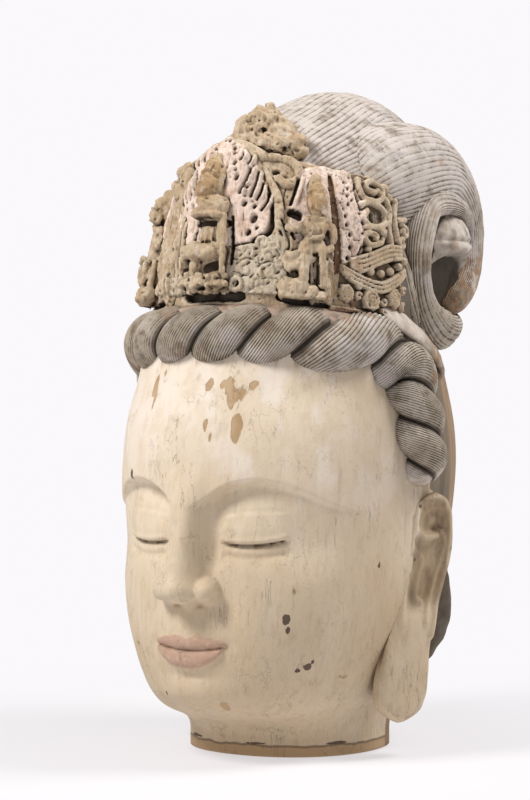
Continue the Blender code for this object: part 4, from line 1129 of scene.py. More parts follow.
def middleFigure():
    # robed figure seated on a lotus, a tall cap on its head, its hands under its sleeves
    put, stick, settle = onCrown(-0.5)
    parts = [
        put((0, 46, 2), (17, 44, 8)), put((0, 98, 6), (9, 30, 11)),
        # head and cap, turned a little aside
        put((-3.5, 99, 18), (8.6, 11.5, 10)), put((-5, 94, 21), (6.2, 7, 7)),
        put((-4, 116, 16), (8.2, 11, 8.5)),
        put((-6, 125.5, 15), (5.4, 6.5, 6.2)), put((-1.5, 127, 13), (5.0, 6.0, 6.0)),
        put((-6.2, 97, 27.6), (1.4, 3.4, 1.6)),
        stick([(-10.6, 103, 22), (-7.6, 103.6, 26.4), (-5.6, 102.4, 27.4), (-3, 103.4, 27),
               (1, 102.6, 25)], [1.0, 1.2]),
        stick([(-12, 106, 18), (-8, 109, 24.4), (-3.6, 110, 25.6), (1.4, 109, 24), (5, 106, 18)],
              [1.4, 1.8]),
        stick([(-9, 117, 21), (-4, 119, 23.6), (1, 117.6, 22)], [1.0, 1.2]),
        stick([(3.2, 127, 12), (5.4, 113, 14.5), (5.6, 99, 15.5), (4.4, 90, 14)], [2.0, 2.6, 2.8, 2.4]),
        # shoulders and the sleeve edge that bridges a gap
        put((1, 81.5, 11), (15.5, 10.5, 11)), put((-5, 86, 13), (10, 5.5, 9)),
        put((7, 79.5, 13), (8.5, 9, 9)),
        stick([(-15, 81, 10), (-14.5, 76, 14), (-11, 73, 18.5)], [3.4, 3.8, 3.2]),
        stick([(-14, 74.5, 15), (-8, 73, 19.4), (0, 72.4, 21.2), (8, 72.2, 20), (13.4, 72, 16)],
              [2.6, 2.8, 3.0, 3.0]),
        stick([(-10, 90, 18), (-3, 84, 22), (6, 80, 22), (12, 76, 18)], [1.2, 1.5, 1.4]),
        put((-2, 58, 5), (12.5, 11, 7)), stick([(-6, 64, 10.6), (-7, 50, 11.6)], [1.0, 1.2]),
        stick([(-1, 64, 11.6), (-1.6, 50, 12.6)], [1.0, 1.2]),
        stick([(4.6, 64, 11.2), (4.6, 50, 12)], [1.0, 1.1]),
        stick([(13.6, 76, 13), (15.4, 64, 14), (17.2, 46, 14.8), (18.4, 22, 13.8)], [3.2, 2.8, 2.8, 3.0]),
        stick([(11.4, 68, 14.5), (12.8, 52, 15.4), (13.4, 38, 15.4)], [1.1, 1.2]),
        # knees, lap and the bands that hang between the hollows
        put((-5, 42.5, 13), (19, 7.4, 10)), put((-20, 43, 10), (9, 6.5, 8)),
        put((6, 40.5, 17), (8.5, 5.8, 7)),
        put((-10, 41, 17), (8, 5.6, 7)), put((9, 47, 11), (6, 4, 5)), put((-14, 48, 11), (7, 4.5, 5)),
        put((-10, 29, 12), (5.0, 8, 6.4)), put((-30, 31, 6), (5, 14, 6)),
        put((-5, 16.5, 9), (26, 7, 11)),
    ]
    # lotus of weathered curls
    for row, (level, out, count, reach, size) in enumerate(
        ((21.4, 17.5, 8, 24, 4.6), (15.2, 19.5, 9, 26, 4.8), (10.0, 15.5, 8, 23, 3.4))
    ):
        for index in range(count):
            x = -5 + reach * (2 * index / (count - 1) - 1)
            wobble = 1.6 * math.sin(3.7 * index + 2.1 * row)
            parts.append(put((x, level + wobble, out - 8.0 * (abs(x + 4) / 25) ** 2),
                             (size * (0.8 + 0.2 * math.sin(5.1 * index + row)), size * 0.62, size * 0.8),
                             12, 8))
    return settle("middleFigure", parts, 31, 0.0006, [
        ([(-17, 67.6), (-10, 68.4), (-3, 67.8), (4, 67.4)], 3.3, 9),
        ([(-18.5, 67), (-22, 61), (-23, 55)], 2.6, 8), ([(0, 28.6), (5, 30.4), (11, 31.4)], 4.6, 12),
        ([(-25, 27.6), (-20, 30.6), (-16.6, 34)], 3.4, 11),
        ([(-27, 6), (-14, 4.6), (2, 5.0), (14, 6)], 3.2, 10), ([(-20, 12.6), (-17, 13.6)], 2.0, 5),
        ([(-2, 12), (2, 12.6)], 1.9, 5), ([(-11, 19)], 1.8, 5), ([(9, 13)], 1.9, 5),
        ([(-28, 18)], 1.8, 4), ([(4, 20)], 1.6, 4), ([(14, 20)], 1.7, 4),
    ], [(-4, 103, 10, 21)], 8.2)


def hangingFolds():
    # long folds between the middle figure and the one on its right, under broken flame tips
    put, stick, settle = onCrown(-25)
    parts = [
        put((-2, 46, 2), (21, 48, 5.6)), put((-12, 126, 7), (7.5, 9.5, 7)),
        put((-17, 122, 7), (5.5, 7, 6.5)), put((-6, 118, 5), (8, 11, 6)),
        put((-22, 110, 7), (5.5, 6.5, 6.5)), put((-14, 106, 4), (9, 9, 6)), put((2, 104, 4), (9, 14, 5)),
        stick([(-13, 133, 9), (-13, 122, 13.6), (-12, 112, 10)], [1.4, 2.0, 1.6]),
        stick([(-8, 128, 10), (-7, 118, 12), (-6, 108, 9)], [1.2, 1.6]),
    ]
    for x, low, high, out, size in (
        (-21, 10, 52, 5.0, 3.4), (-15, 9, 78, 5.4, 3.2), (-9, 8, 90, 6.0, 3.2), (-3, 8, 96, 6.4, 3.0),
        (3, 8, 98, 6.2, 3.2), (8.6, 9, 92, 5.8, 2.8), (14.5, 14, 84, 5.4, 3.0), (20, 20, 76, 4.6, 2.6),
    ):
        steps = np.linspace(0, 1, 7)
        parts.append(stick([
            (x + 1.5 * math.sin(4.0 * s + x), low + (high - low) * s,
             out + 1.2 * math.sin(8.0 * s + 2.0 * x) + 0.4 * math.sin(23 * s + x)) for s in steps
        ], [size, size * 0.72, size * 1.05, size * 0.7, size], 0.9))
    return settle("hangingFolds", parts, 37, 0.0008, [
        ([(-6, 84), (-5.4, 66)], 1.7, 4), ([(5.6, 72), (5.0, 50)], 1.6, 4),
        ([(-12, 44), (-12.4, 26)], 1.8, 4), ([(0, 40), (0.4, 22)], 1.5, 4),
        ([(11.4, 36), (11.2, 18)], 1.7, 4), ([(-18, 92), (-10, 96)], 2.4, 5),
        ([(11, 76), (11.6, 62)], 1.5, 3.5), ([(17, 60), (17.2, 40)], 1.5, 3.5),
    ])


def standingHead(put, stick, across, level, out):
    # the tall-capped head that both standing figures share
    x, y, z = across, level, out
    return [
        put((x, y, z), (6.4, 8.4, 7.2)), put((x, y - 6, z + 2.4), (3.8, 3.4, 3.8)),
        put((x, y + 10, z - 2), (6.6, 7, 7)), put((x, y + 18, z - 4), (5.2, 9, 6)),
        stick([(x - 5.6, y + 4.6, z + 2), (x, y + 6.0, z + 6.8), (x + 5.6, y + 4.6, z + 2)], [1.1, 1.3]),
        stick([(x - 5.2, y + 12, z), (x, y + 13, z + 4.8), (x + 5.2, y + 12, z)], [0.9, 1.0]),
        put((x, y - 0.8, z + 7), (1.0, 2.3, 1.1)),
        stick([(x - 2, y - 4.6, z + 6), (x, y - 5, z + 6.6), (x + 2, y - 4.6, z + 6)], [0.5, 0.7]),
        stick([(x - 3.6, y + 1.8, z + 6), (x - 1.2, y + 2.2, z + 7)], [0.7, 0.7]),
        stick([(x + 1.2, y + 2.2, z + 7), (x + 3.6, y + 1.8, z + 6)], [0.7, 0.7]),
        put((x - 6.2, y - 1.4, z - 2.4), (1.8, 5, 2.4)), put((x + 6.2, y - 1.4, z - 2.4), (1.8, 5, 2.4)),
    ]


def sideFigureLeft():
    # standing figure, one forearm held out, the other hand at its hip, scarves looped at its side
    put, stick, settle = onCrown(42.8)
    parts = standingHead(put, stick, 2.4, 87.5, 18.5) + [
        put((2, 46, -1), (13, 46, 6)), put((3, 96, 4), (7, 20, 9)),
        stick([(1.2, 70, 8), (2.0, 80, 15)], [3.8, 3.6]),
        stick([(-9, 70.5, 7), (-3, 74, 9.5), (3, 75, 10.5), (10, 74.5, 9.5), (15.2, 71.5, 7)],
              [3.8, 4.4, 4.2, 4.4, 4.0]),
        put((0, 66.5, 6.5), (12, 9.5, 7.5)), put((-3.5, 67.5, 10), (6, 5, 4.5)),
        put((6, 67.5, 10), (5.6, 5, 4.5)),
        stick([(-9.6, 58.6, 9), (-3.4, 57.4, 12.8), (3, 57.6, 13), (9, 59.4, 10.5)], [1.9, 2.2, 1.9]),
        stick([(-9.5, 70, 8), (-12.6, 66.5, 11), (-17, 64.4, 12.4), (-21.5, 64.8, 11)],
              [3.8, 3.4, 3.0, 2.8]),
        put((-22.5, 66.5, 9.5), (3.4, 3.6, 3)),
        stick([(-20.5, 61, 8), (-19.5, 53, 6), (-21.5, 46, 5)], [1.6, 1.8, 2.2]),
        stick([(15.4, 70.5, 8), (16.8, 61, 9.5), (15.8, 52, 9.5)], [4.0, 3.6, 3.2]),
        stick([(15.8, 51, 9.5), (11.4, 47.6, 11.5), (6.6, 46.8, 12.5)], [3.2, 2.9, 2.6]),
        put((-6.4, 50, 7), (8, 9, 6.6)), put((4, 50, 6.4), (9, 8, 6)), put((-4, 43, 6), (8, 6, 5.6)),
        stick([(6.0, 56, 11), (5.6, 46, 13), (5.8, 37, 12.4), (5.4, 26, 11.6)], [2.6, 2.8, 3.0, 3.0]),
        stick([(-8.4, 45, 8.4), (-9.6, 34, 9.6), (-11, 19, 9.6)], [5.2, 4.8, 4.6]),
        stick([(7.4, 40, 7.6), (7.2, 28, 8.6), (7.0, 15, 8.8)], [4.8, 4.6, 4.2]),
        put((-2, 30, 1), (8, 12, 3)), stick([(-3.2, 40, 6), (-2.6, 28, 5), (-3, 18, 6)], [1.6, 1.6]),
        stick([(12.6, 42, 6), (15, 38, 8), (17, 36.5, 6)], [2.0, 2.2, 1.6]),
        stick([(-13, 48, 7.5), (-19, 43.5, 9), (-26, 47, 5.5)], [2.6, 3.4, 2.8]),
        stick([(-12.6, 43, 8), (-15.6, 35.4, 9.4), (-21.5, 32.4, 9.6), (-26, 37, 7.6), (-27, 45, 5.4)],
              [2.8, 3.2, 3.6, 3.0, 2.6]),
        put((-19, 38.6, 6.5), (6, 4.4, 3.4)),
        put((-24, 17, 6), (9, 9.5, 7)), put((-15, 16.5, 8.5), (10, 9, 7.5)), put((-26, 11, 8), (7, 5, 5)),
        put((-17, 10, 11), (9, 4.6, 5)), put((-4.5, 13.5, 8.5), (7.6, 5.6, 6.4)),
        put((-6.5, 9.5, 12), (5.4, 2.6, 4)),
        put((4.4, 10.4, 9), (6.2, 3.4, 5.6)), put((3.6, 8.4, 12.4), (4.6, 2.2, 3.8)),
        put((11.4, 11, 5), (4.6, 6.4, 4.6)),
        stick([(12, 26, 5), (12.4, 16, 6.4), (11.4, 6, 6)], [2.2, 2.6, 2.0]),
        stick([(-8, 50, 12.4), (-9.6, 40, 13.4), (-11.4, 24, 13.6)], [0.8, 0.9]),
        stick([(-12.6, 30, 12), (-13, 20, 12.6)], [0.8, 0.9]),
        stick([(8.4, 36, 12.6), (8.6, 20, 12.6)], [0.8, 0.9]),
        stick([(-6, 73, 13), (-2.4, 66, 15), (-3.6, 59, 14.4)], [1.0, 1.0]),
        stick([(9, 73, 13), (6.6, 64, 14.8), (6.2, 56, 14)], [1.2, 1.2]),
    ]
    return settle("sideFigureLeft", parts, 42, 0.0006, [
        ([(-15.5, 60.8), (-14, 57)], 2.8, 6), ([(11.4, 56.6), (10.8, 53.6)], 2.4, 6),
        ([(-0.6, 43.8), (1.4, 44)], 2.0, 5), ([(3.0, 35), (3.2, 20)], 1.3, 6),
        ([(-19.6, 29), (-17, 29.4)], 3.0, 6), ([(12.7, 43)], 1.8, 3.5),
        ([(-27, 6), (-16, 4.6), (-8, 3.4)], 3.0, 8), ([(2, 3), (9, 2.6)], 2.6, 6),
        ([(-3, 76.2), (7, 76.8)], 1.6, 2), ([(-20, 12.4)], 1.3, 2), ([(-9, 13)], 1.3, 2),
    ], [(2.4, 92, 7.6, 13)])


def sideFigureRight():
    # the same kind of figure seen in worn outline: cap, face, smooth body, a looped scarf, a knobbly base
    put, stick, settle = onCrown(46, -1)
    parts = standingHead(put, stick, 0, 84.5, 12) + [
        put((0, 46, 0), (14, 48, 6)), put((0, 96, 3), (9, 18, 8)), put((4, 80, 0), (12, 22, 6)),
        put((0, 98, 9), (7.5, 7.5, 7.5)), stick([(0, 68, 6), (0, 78, 10)], [4.2, 4.2]),
        stick([(-13, 69, 4), (-5, 73, 6.6), (0, 74, 7), (5, 73, 6.6), (13, 69, 4)], [3.8, 4.4, 3.8]),
        put((0, 63, 5.0), (11, 12, 7)), put((0, 50, 6), (11, 9, 7)),
        stick([(-13, 68, 5), (-15.6, 59, 7), (-11, 54, 10)], [3.4, 3.0, 2.6]),
        stick([(13, 68, 5), (15.6, 59, 6.4), (14, 50, 8.6)], [3.4, 3.0, 2.8]),
        put((0, 35, 6), (9, 13, 7)), put((1, 35, 11), (8.6, 11.5, 5)),
        stick([(-3, 45, 14), (0, 47.4, 15.4), (4, 45, 16), (6.6, 37, 16), (4.6, 28, 15.6), (0, 25, 15.4),
               (-4, 28, 14), (-6, 36, 13.6), (-3, 45, 14)], [2.8, 3.0, 3.0, 2.8]),
        stick([(8, 52, 8), (10, 40, 9.6), (9, 24, 10)], [3.4, 3.2, 3.2]),
        stick([(-9, 46, 6), (-10, 32, 8), (-9, 18, 9)], [3.4, 3.2, 3.4]),
        put((0, 16, 9), (13, 8.4, 9)), put((5, 13, 13), (8, 7, 6)), put((-4, 14, 14), (7, 6, 6)),
        put((2, 8, 11), (9, 5, 6)),
        put((8, 18, 10), (5, 4.6, 5)), put((-10, 17, 9), (6, 5, 6)), put((0, 20.5, 14), (5, 3.6, 5)),
        put((-1, 12.5, 18), (4.4, 3.6, 3.6)), put((5, 17, 16), (4, 3.2, 3.6)),
    ]
    return settle("sideFigureRight", parts, 46, 0.0007, [
        ([(0.6, 40), (0.6, 32)], 4.0, 11), ([(-1.5, 21.4), (1.5, 21.8)], 1.5, 4),
        ([(2, 13), (2.4, 11)], 1.7, 5), ([(-5, 10)], 1.6, 4), ([(7.6, 12)], 1.6, 4),
        ([(-6, 4), (8, 3.4)], 2.4, 8), ([(-7, 77), (7, 77)], 2.0, 4), ([(11.6, 60), (11, 52)], 2.0, 5),
    ])


def wornOrnament():
    # what is left of the ornament on the crown's top: one crumbling mass over the seam
    parts = []
    for degrees, up, out, wide, tall, deep in (
        (0, 159, 3, 12, 11, 9), (9, 157, 4, 12, 11, 9), (20, 156, 5, 13, 11, 9), (30, 152, 4, 13, 10, 8),
        (39, 149, 0, 10, 7, 6), (1, 178, 6, 11, 13, 10), (10, 184, 8, 12, 14, 11),
        (18, 186, 8, 11.5, 13, 10), (28, 171, 5, 13, 13, 9), (37, 163, 2, 12, 10, 7),
        (5, 197, 11, 5.6, 8, 6.5), (17, 199, 12, 5.6, 7.5, 6.5), (4, 169, 10, 6, 6, 5),
        (14, 171, 11, 7, 6.5, 5.5), (23, 168, 10, 6.5, 6, 5), (12, 193, 12, 6, 6.5, 5),
        (-3, 168, 6, 6, 7, 6), (26, 183, 8, 7, 8, 6), (33, 158, 6, 6, 6, 5), (7, 152, 7, 6, 5, 4.4),
        (17, 150, 8, 6.4, 5, 4.6), (26, 148, 7, 6.4, 5, 4.6), (-6, 158, 2, 8, 8, 7),
    ):
        place = crownPlace(math.radians(degrees), 0)
        parts.append(ball(np.array((0, up, out)) / 1000, np.array((wide, tall, deep)) / 1000, place, 32, 20))
    piece = weathered("wornOrnament", parts, 0.0010, 51, 0.0013)
    points = pointsOf(piece)
    pocked = blend(mottle(points, 0.0075, 57), 0.52, 0.80)
    push(piece, -0.0022 * pocked)
    # the pocks are pushed in and painted darker
    keepMap(piece, "stain", 0.55 * pocked)
    return piece


# Topknot

knot = dict(halfWidth=0.115, halfDepth=0.104, halfHeight=0.118, back=0.091, level=0.460)


def knotPoint(shares, side=1):
    size = np.array([side * knot["halfWidth"], knot["halfDepth"], knot["halfHeight"]])
    return np.array(shares) * size + np.array([0, knot["back"], knot["level"]])


def hairLock(name, side, line, thick, wide, grooves, rows,
             bend=None, squareness=0.8, depth=0.0013, tip=6, rusty=0.0, pale=None):
    # a flattened lock whose wide side lies on the knot, combed along its length
    piece, u, s = sheetOf(name, grooves * 4, rows, side)
    angle = 2 * math.pi * np.interp(u, [0, 0.10, 0.90, 1], [-0.5, -0.30, 0.30, 0.5])
    knots = spaced(knotPoint(line, side or 1))
    out, across = (
        curveThrough(s, list(zip(np.linspace(0, 1, len(sizes)), sizes))) * knot["halfHeight"]
        * np.maximum(np.abs(wave), 0.02) ** (squareness - 1) * wave
        for sizes, wave in ((thick, np.cos(angle)), (wide, np.sin(angle)))
    )
    closing = np.sqrt(np.clip(1 - np.abs(2 * s - 1) ** tip, 0, 1))
    ahead, behind = (curveThrough(np.clip(s + step, 0, 1), knots) for step in (0.01, -0.01))
    tangent = unit(ahead - behind)
    centre = curveThrough(s, knots)
    normal = centre - knotPoint((0, 0, 0))
    normal = unit(normal - tangent * (normal * tangent).sum(1, keepdims=True))
    aside = np.cross(tangent, normal)
    drop = 0 * across if bend is None else bend - np.sqrt(np.maximum(bend**2 - across**2, 0))
    smooth = centre + normal * ((out - drop) * closing)[:, None] + aside * (across * closing)[:, None]
    comb = np.abs(np.sin(math.pi * grooves * u))
    worn = 0.40 + 0.60 * blend(mottle(smooth, 0.030, 21), -0.7, 0.4)
    worn = worn * (1 - 0.30 * blend(smooth[:, 2], 0.55, 0.59))
    cut = depth * worn * (1 - comb**0.7) * closing + 0.0004 * mottle(smooth, 0.009, 22)
    inwards = unit(normal * out[:, None] + aside * across[:, None])
    bare = 0 * s if pale is None else 0.8 * np.exp(-(((s - pale) / 0.09) ** 2))
    return closeUp(piece, smooth - inwards * cut[:, None], comb=(1 - comb) * (0.62 + 0.38 * worn), bare=bare,
                   rusty=rusty * blend(s + 0.02 * mottle(smooth, 0.012, 23), 0.70, 0.82))


def combedCap():
    # the dome under the locks, combed from front to back
    grooves, rows = 110, 60
    piece, u, t = sheetOf("combedCap", grooves * 3, rows)
    around = math.pi * np.interp(u, [0, 0.03, 0.97, 1], [-1, -0.62, 0.62, 1])
    along = math.pi * np.interp(t, [0, 0.10, 0.80, 1], [0, 0.16, 0.62, 1])
    comb = np.abs(np.sin(math.pi * grooves * u))
    size = np.array([dome["halfWidth"], dome["depth"], dome["height"]]) + 0.0012
    flat = np.stack([np.sin(along) * np.sin(around), -np.cos(along), np.sin(along) * np.cos(around)],
                    1) * size
    flat += unit(flat) * (0.0008 * mottle(flat, 0.012, 71) + 0.0006 * mottle(flat, 0.006, 72))[:, None]
    worn = 0.35 + 0.65 * blend(mottle(flat, 0.022, 73), -0.6, 0.4)
    worn *= blend(flat[:, 2], 0.07, 0.11)
    depth = 0.0011 * worn * (1 - comb**0.7) * np.sin(along)
    points = flat - unit(flat / size**2) * depth[:, None] + np.array([0, 0, dome["level"]])
    # darker towards the cap's foot under the locks: painted shade
    return closeUp(piece, points, comb=(1 - comb) * worn, stain=0.75 * blend(flat[:, 2], 0.10, 0.06))


def carvedKnob(side):
    # the curled end inside the ring: a fluted head, its scalloped edge, a deep hollow under it
    half = np.array([0.030, 0.040, 0.046])
    centre = knotPoint((0.80, 0.08, -0.16), side)
    piece = named(ball(centre, half, None, 112, 80), "knob", side)
    points = pointsOf(piece)
    a, b = ((points - centre) / half)[:, 1:].T
    outer = blend(side * (points[:, 0] - centre[0]) / half[0], 0.0, 0.35)
    fan = np.arctan2(a + 0.25, 1.25 - b)
    edge = 0.05 + 0.09 * np.abs(np.sin(11 * fan))
    top = np.sqrt(np.clip(1 - (a / 0.98) ** 2 - ((b - 0.42) / 0.62) ** 2, 0, 1))
    top = top * blend(b, edge - 0.05, edge + 0.02)
    relief = 0.0085 * top - 0.0016 * top * (1 - np.abs(np.sin(11 * fan)) ** 0.6)
    relief -= 0.0035 * top * np.exp(-(((b - 0.30) / 0.05) ** 2))
    hollow = np.clip(1.15 - (a / 0.85) ** 2 - ((b + 0.45) / 0.52) ** 2, 0, 1)
    hollow = hollow * (1 - blend(b, edge - 0.08, edge))
    lumpy = np.exp(-(((a - 0.35) / 0.26) ** 2 + ((b + 0.42) / 0.24) ** 2))
    lumpy = lumpy * (0.8 + 0.2 * np.cos(16 * np.arctan2(a, b)))
    relief += -0.015 * hollow**0.6 + 0.010 * lumpy
    points[:, 0] += side * outer * relief
    points += normalsOf(piece) * (0.0006 * mottle(points, 0.005, 61))[:, None]
    setPoints(piece, points)
    patchy = 0.55 * blend(mottle(points, 0.006, 62), -0.1, 0.7) * (1 - blend(b, 0.5, 0.9))
    # the hollow under the head is painted dark as shade; the patchy stains are its own
    keepMap(piece, "stain", np.maximum(np.clip(1.8 * hollow - 0.3 * lumpy, 0, 1), patchy))
    keepMap(piece, "comb", 0.8 * top * (1 - np.abs(np.sin(11 * fan)) ** 0.6))
    keepMap(piece, "bare", 0.75 * top)
    bpy.ops.object.shade_smooth()
    return piece


def napeLock(side):
    # a short strand behind the ear, over the head's bare back
    line = [(0.126, 0.034, 0.185), (0.127, 0.046, 0.150), (0.124, 0.054, 0.118), (0.113, 0.056, 0.090),
            (0.104, 0.052, 0.074)]
    piece = named(rod(np.array(line) * (side, 1, 1), [0.008, 0.009, 0.009, 0.006], 24, 60), "napeLock", side)
    points = pointsOf(piece)
    push(piece, 0.0010 * mottle(points * (1, 1, 0.3), 0.005, 95))
    keepMap(piece, "stain", np.full(len(points), 0.7))
    bpy.ops.object.shade_smooth()
    return piece


def topknot():
    size = np.array([knot["halfWidth"], knot["halfDepth"], knot["halfHeight"]])
    made = [named(ball(knotPoint((0, 0, 0)), size, None, 96, 64), "knotCore"), combedCap()]
    # the core shows only between the locks and is painted dark all over as shade
    keepMap(made[0], "stain", np.full(len(made[0].data.vertices), 1.0))
    locks = [hairLock(
        "centreLock", 0,
        [(0.03, -1.86, 0.16), (0.03, -1.40, 0.56), (0.03, -0.80, 0.77), (0, -0.11, 0.885), (0, 0.50, 0.67),
         (0, 0.76, 0.12), (0, 0.71, -0.49), (0, 0.46, -0.80)],
        [0.12, 0.20, 0.29, 0.30, 0.25], [0.64, 0.74, 0.66, 0.54, 0.42], 70, 104, 0.112, depth=0.0010, tip=8)]
    for side in (-1, 1):
        outer = [(0.56, -1.14, 0.20), (0.67, -0.46, 0.47), (0.70, 0.24, 0.48), (0.70, 0.67, 0.07),
                 (0.76, 0.60, -0.30), (0.82, 0.33, -0.52), (0.80, 0.26, -0.62)]
        ring = [(0.92, 0.52, -0.10), (0.97, 0.36, 0.13), (0.97, 0.03, 0.24), (0.95, -0.32, 0.20),
                (0.92, -0.46, -0.10), (0.89, -0.38, -0.44), (0.83, -0.03, -0.66), (0.75, 0.38, -0.69),
                (0.63, 0.70, -0.56)]
        locks += [
            hairLock("outerLock", side, outer, [0.26, 0.31, 0.31, 0.29, 0.22, 0.16],
                     [0.40, 0.46, 0.41, 0.34, 0.25, 0.18], 48, 104, 0.120, rusty=0.8),
            hairLock("ringLock", side, ring,
                     [0.07, 0.09, 0.10, 0.10, 0.11, 0.14, 0.17, 0.15],
                     [0.06, 0.08, 0.11, 0.13, 0.11, 0.14, 0.17, 0.15], 22, 170, squareness=0.7, pale=0.36),
        ]
        under = [(0.80, -0.78, -0.02), (0.82, -0.70, -0.34), (0.80, -0.52, -0.60), (0.74, -0.16, -0.80)]
        locks.append(hairLock("underLock", side, under, [0.06, 0.09, 0.09, 0.06],
                              [0.12, 0.16, 0.16, 0.10], 14, 80, rusty=0.2))
        made += [carvedKnob(side), napeLock(side)]
    return made, locks


# Finishes


def gessoPaint():
    p = Paint("worn_gesso", 0.62, 0.28)
    cream, sand = (0.73, 0.615, 0.465), (0.61, 0.48, 0.33)
    tan, ochre = (0.44, 0.32, 0.19), (0.33, 0.20, 0.085)
    up = p.node("ShaderNodeSeparateXYZ", None, {0: p.place}, output="Z")
    shade = p.layer("shade")
    wide = p.patches(0.075, 0.36, 0.66, 3.1, stretch=(1, 1, 1.6), rough=0.5)
    cloudy = p.patches(0.016, 0.40, 0.66, 7.7, detail=5, stretch=(1, 1, 2.2))
    streaks = p.patches(0.0035, 0.46, 0.72, 1.3, stretch=(1, 1, 9))
    specks = p.patches(0.0022, 0.62, 0.74, 9.0, detail=2, rough=0.5)
    lower = up.between(0.27, 0.03)
    colour = p.mix(wide * 0.70, cream, sand)
    colour = p.mix(cloudy * 0.40, colour, sand)
    colour = p.mix(streaks * (0.12 + lower * 0.24), colour, tan)
    colour = p.mix(lower * 0.55, colour, (0.47, 0.35, 0.22))
    colour = p.mix(specks * 0.30, colour, (0.34, 0.25, 0.165))
    # paler patches of gesso over the upper face, and a painted highlight on the forehead's right side
    pale = p.patches(0.030, 0.50, 0.68, 21.0, detail=3, stretch=(1, 1, 1.4), rough=0.5)
    pale = pale * up.between(0.16, 0.32)
    across = p.node("ShaderNodeSeparateXYZ", None, {0: p.place}, output="X")
    pale = pale + across.between(0.07, -0.06) * up.between(0.20, 0.31) * (1 - pale) * (1 - cloudy * 0.5)
    colour = p.mix(pale * 0.62, colour, (0.83, 0.75, 0.68))
    blotch = p.patches(0.010, 0.52, 0.70, 51.0, detail=5, stretch=(1, 1, 1.8), rough=0.65)
    colour = p.mix(blotch * (0.25 + lower * 0.75) * 0.42, colour, (0.40, 0.28, 0.165))
    grey = p.patches(0.012, 0.60, 0.72, 31.0, stretch=(1, 1, 5))
    colour = p.mix(grey * 0.35, colour, (0.36, 0.335, 0.285))
    # flaked places, their edges broken up
    flaked = p.layer("flake") + (p.noise(0.007, 5, (1, 1, 1.6), 2.0, 0.62) - 0.5) * 0.75
    flaked = flaked.between(0.47, 0.56)
    colour = p.mix(flaked * 0.85, colour, p.mix(cloudy, (0.44, 0.28, 0.14), ochre))
    lost = (p.layer("chip") + (p.noise(0.004, 4, (1, 1, 1), 5.0, 0.6) - 0.5) * 0.8).between(0.47, 0.55)
    colour = p.mix(lost * 0.92, colour, (0.075, 0.045, 0.03))
    lips = p.layer("lips") * (1 - p.patches(0.005, 0.52, 0.70, 4.4) * 0.5)
    colour = p.mix(lips * 0.66, colour, (0.40, 0.215, 0.16))
    # painted shade where the open air round a point is hidden
    colour = p.mix(shade.between(0.16, 0.62) * 0.62, colour, (0.25, 0.165, 0.095))
    colour = p.mix(p.layer("opening").between(0.25, 0.8) * 0.8, colour, (0.13, 0.09, 0.06))
    # the ears' brown paint, with painted shade in their hollows
    earBrownAndShade = p.mix(cloudy, (0.34, 0.235, 0.135), (0.17, 0.115, 0.068))
    colour = p.mix(p.layer("brown").between(0.1, 0.9) * (0.88 - streaks * 0.25), colour, earBrownAndShade)
    # the neck's bare rim under a dark line
    ragged = up + (p.noise(0.02, 3, (1, 1, 3), 8.0) - 0.5) * 0.006
    colour = p.mix(ragged.between(0.0120, 0.0095) * 0.8, colour, (0.38, 0.235, 0.11))
    line = ragged.between(0.0122, 0.0108) * ragged.between(0.0088, 0.0102)
    colour = p.mix(line * 0.7, colour, (0.10, 0.065, 0.04))
    # bare wood at the back, worn hair paint above the roll
    grain = p.patches(0.0016, 0.35, 0.7, 6.0, detail=3, stretch=(1, 1, 30))
    rings = p.patches(0.010, 0.40, 0.62, 16.0, detail=3, stretch=(1, 1, 14))
    wood = p.mix(rings, p.mix(grain, (0.40, 0.26, 0.15), (0.24, 0.15, 0.085)),
                 p.mix(grain, (0.30, 0.195, 0.115), (0.17, 0.105, 0.062)))
    turn = p.layer("turn") + (p.noise(0.02, 3, (1, 1, 2), 44.0) - 0.5) * 5
    colour = p.mix(turn.between(102, 104), colour, wood)
    top = p.mix(p.patches(0.012, 0.40, 0.62, 36.0), (0.45, 0.32, 0.245), (0.26, 0.19, 0.135))
    colour = p.mix(p.layer("scalp").between(0.3, 0.7) * (1 - turn.between(108, 112)), colour,
                   p.mix(turn.between(62, 84), top, (0.12, 0.095, 0.07)))
    dark = turn.between(99.5, 101) * (1 - turn.between(103, 104.5)) * up.between(0.19, 0.21)
    colour = p.mix(dark * 0.85, colour, (0.04, 0.028, 0.02))
    fine = p.noise(0.022, 5, (1, 1, 2.4), 3.0, 0.62).gap(0.5).between(0.0045, 0.001)
    fine = fine * p.patches(0.035, 0.50, 0.60, 12.0, detail=2, rough=0.5)
    colour = p.mix(fine * 0.22, colour, (0.30, 0.22, 0.15))
    tall = p.noise(0.018, 4, (0.8, 0.8, 12), 9.0, 0.6).gap(0.5).between(0.005, 0.001)
    tall = tall * p.patches(0.045, 0.54, 0.62, 2.6, detail=2, rough=0.5)
    colour = p.mix(tall * 0.45, colour, (0.20, 0.14, 0.09))
    # the side of the face: painted shade on the temple, and a brown stain lower on the cheek
    aside = turn.between(42, 74) * (1 - p.layer("brown"))
    colour = p.mix(aside * up.between(0.17, 0.25) * 0.34, colour, (0.30, 0.225, 0.145))
    colour = p.mix(aside * up.between(0.20, 0.12) * up.between(0.05, 0.09) * 0.30, colour,
                   (0.36, 0.235, 0.11))
    rough = 0.56 + 0.16 * cloudy + 0.12 * turn.between(100, 104)
    surface = p.noise(0.0045, 4, (1, 1, 1.5), 11.0, 0.6)
    pits = p.noise(0.0018, 2, (1, 1, 1), 14.0)
    return p.finish(colour, rough, (
        (surface, 0.0008, 0.6), (pits, 0.00025, 0.5), (1 - fine * 0.8 - tall, 0.0005, 0.8),
        (1 - flaked * 0.6 - lost, 0.0008, 1.0)))


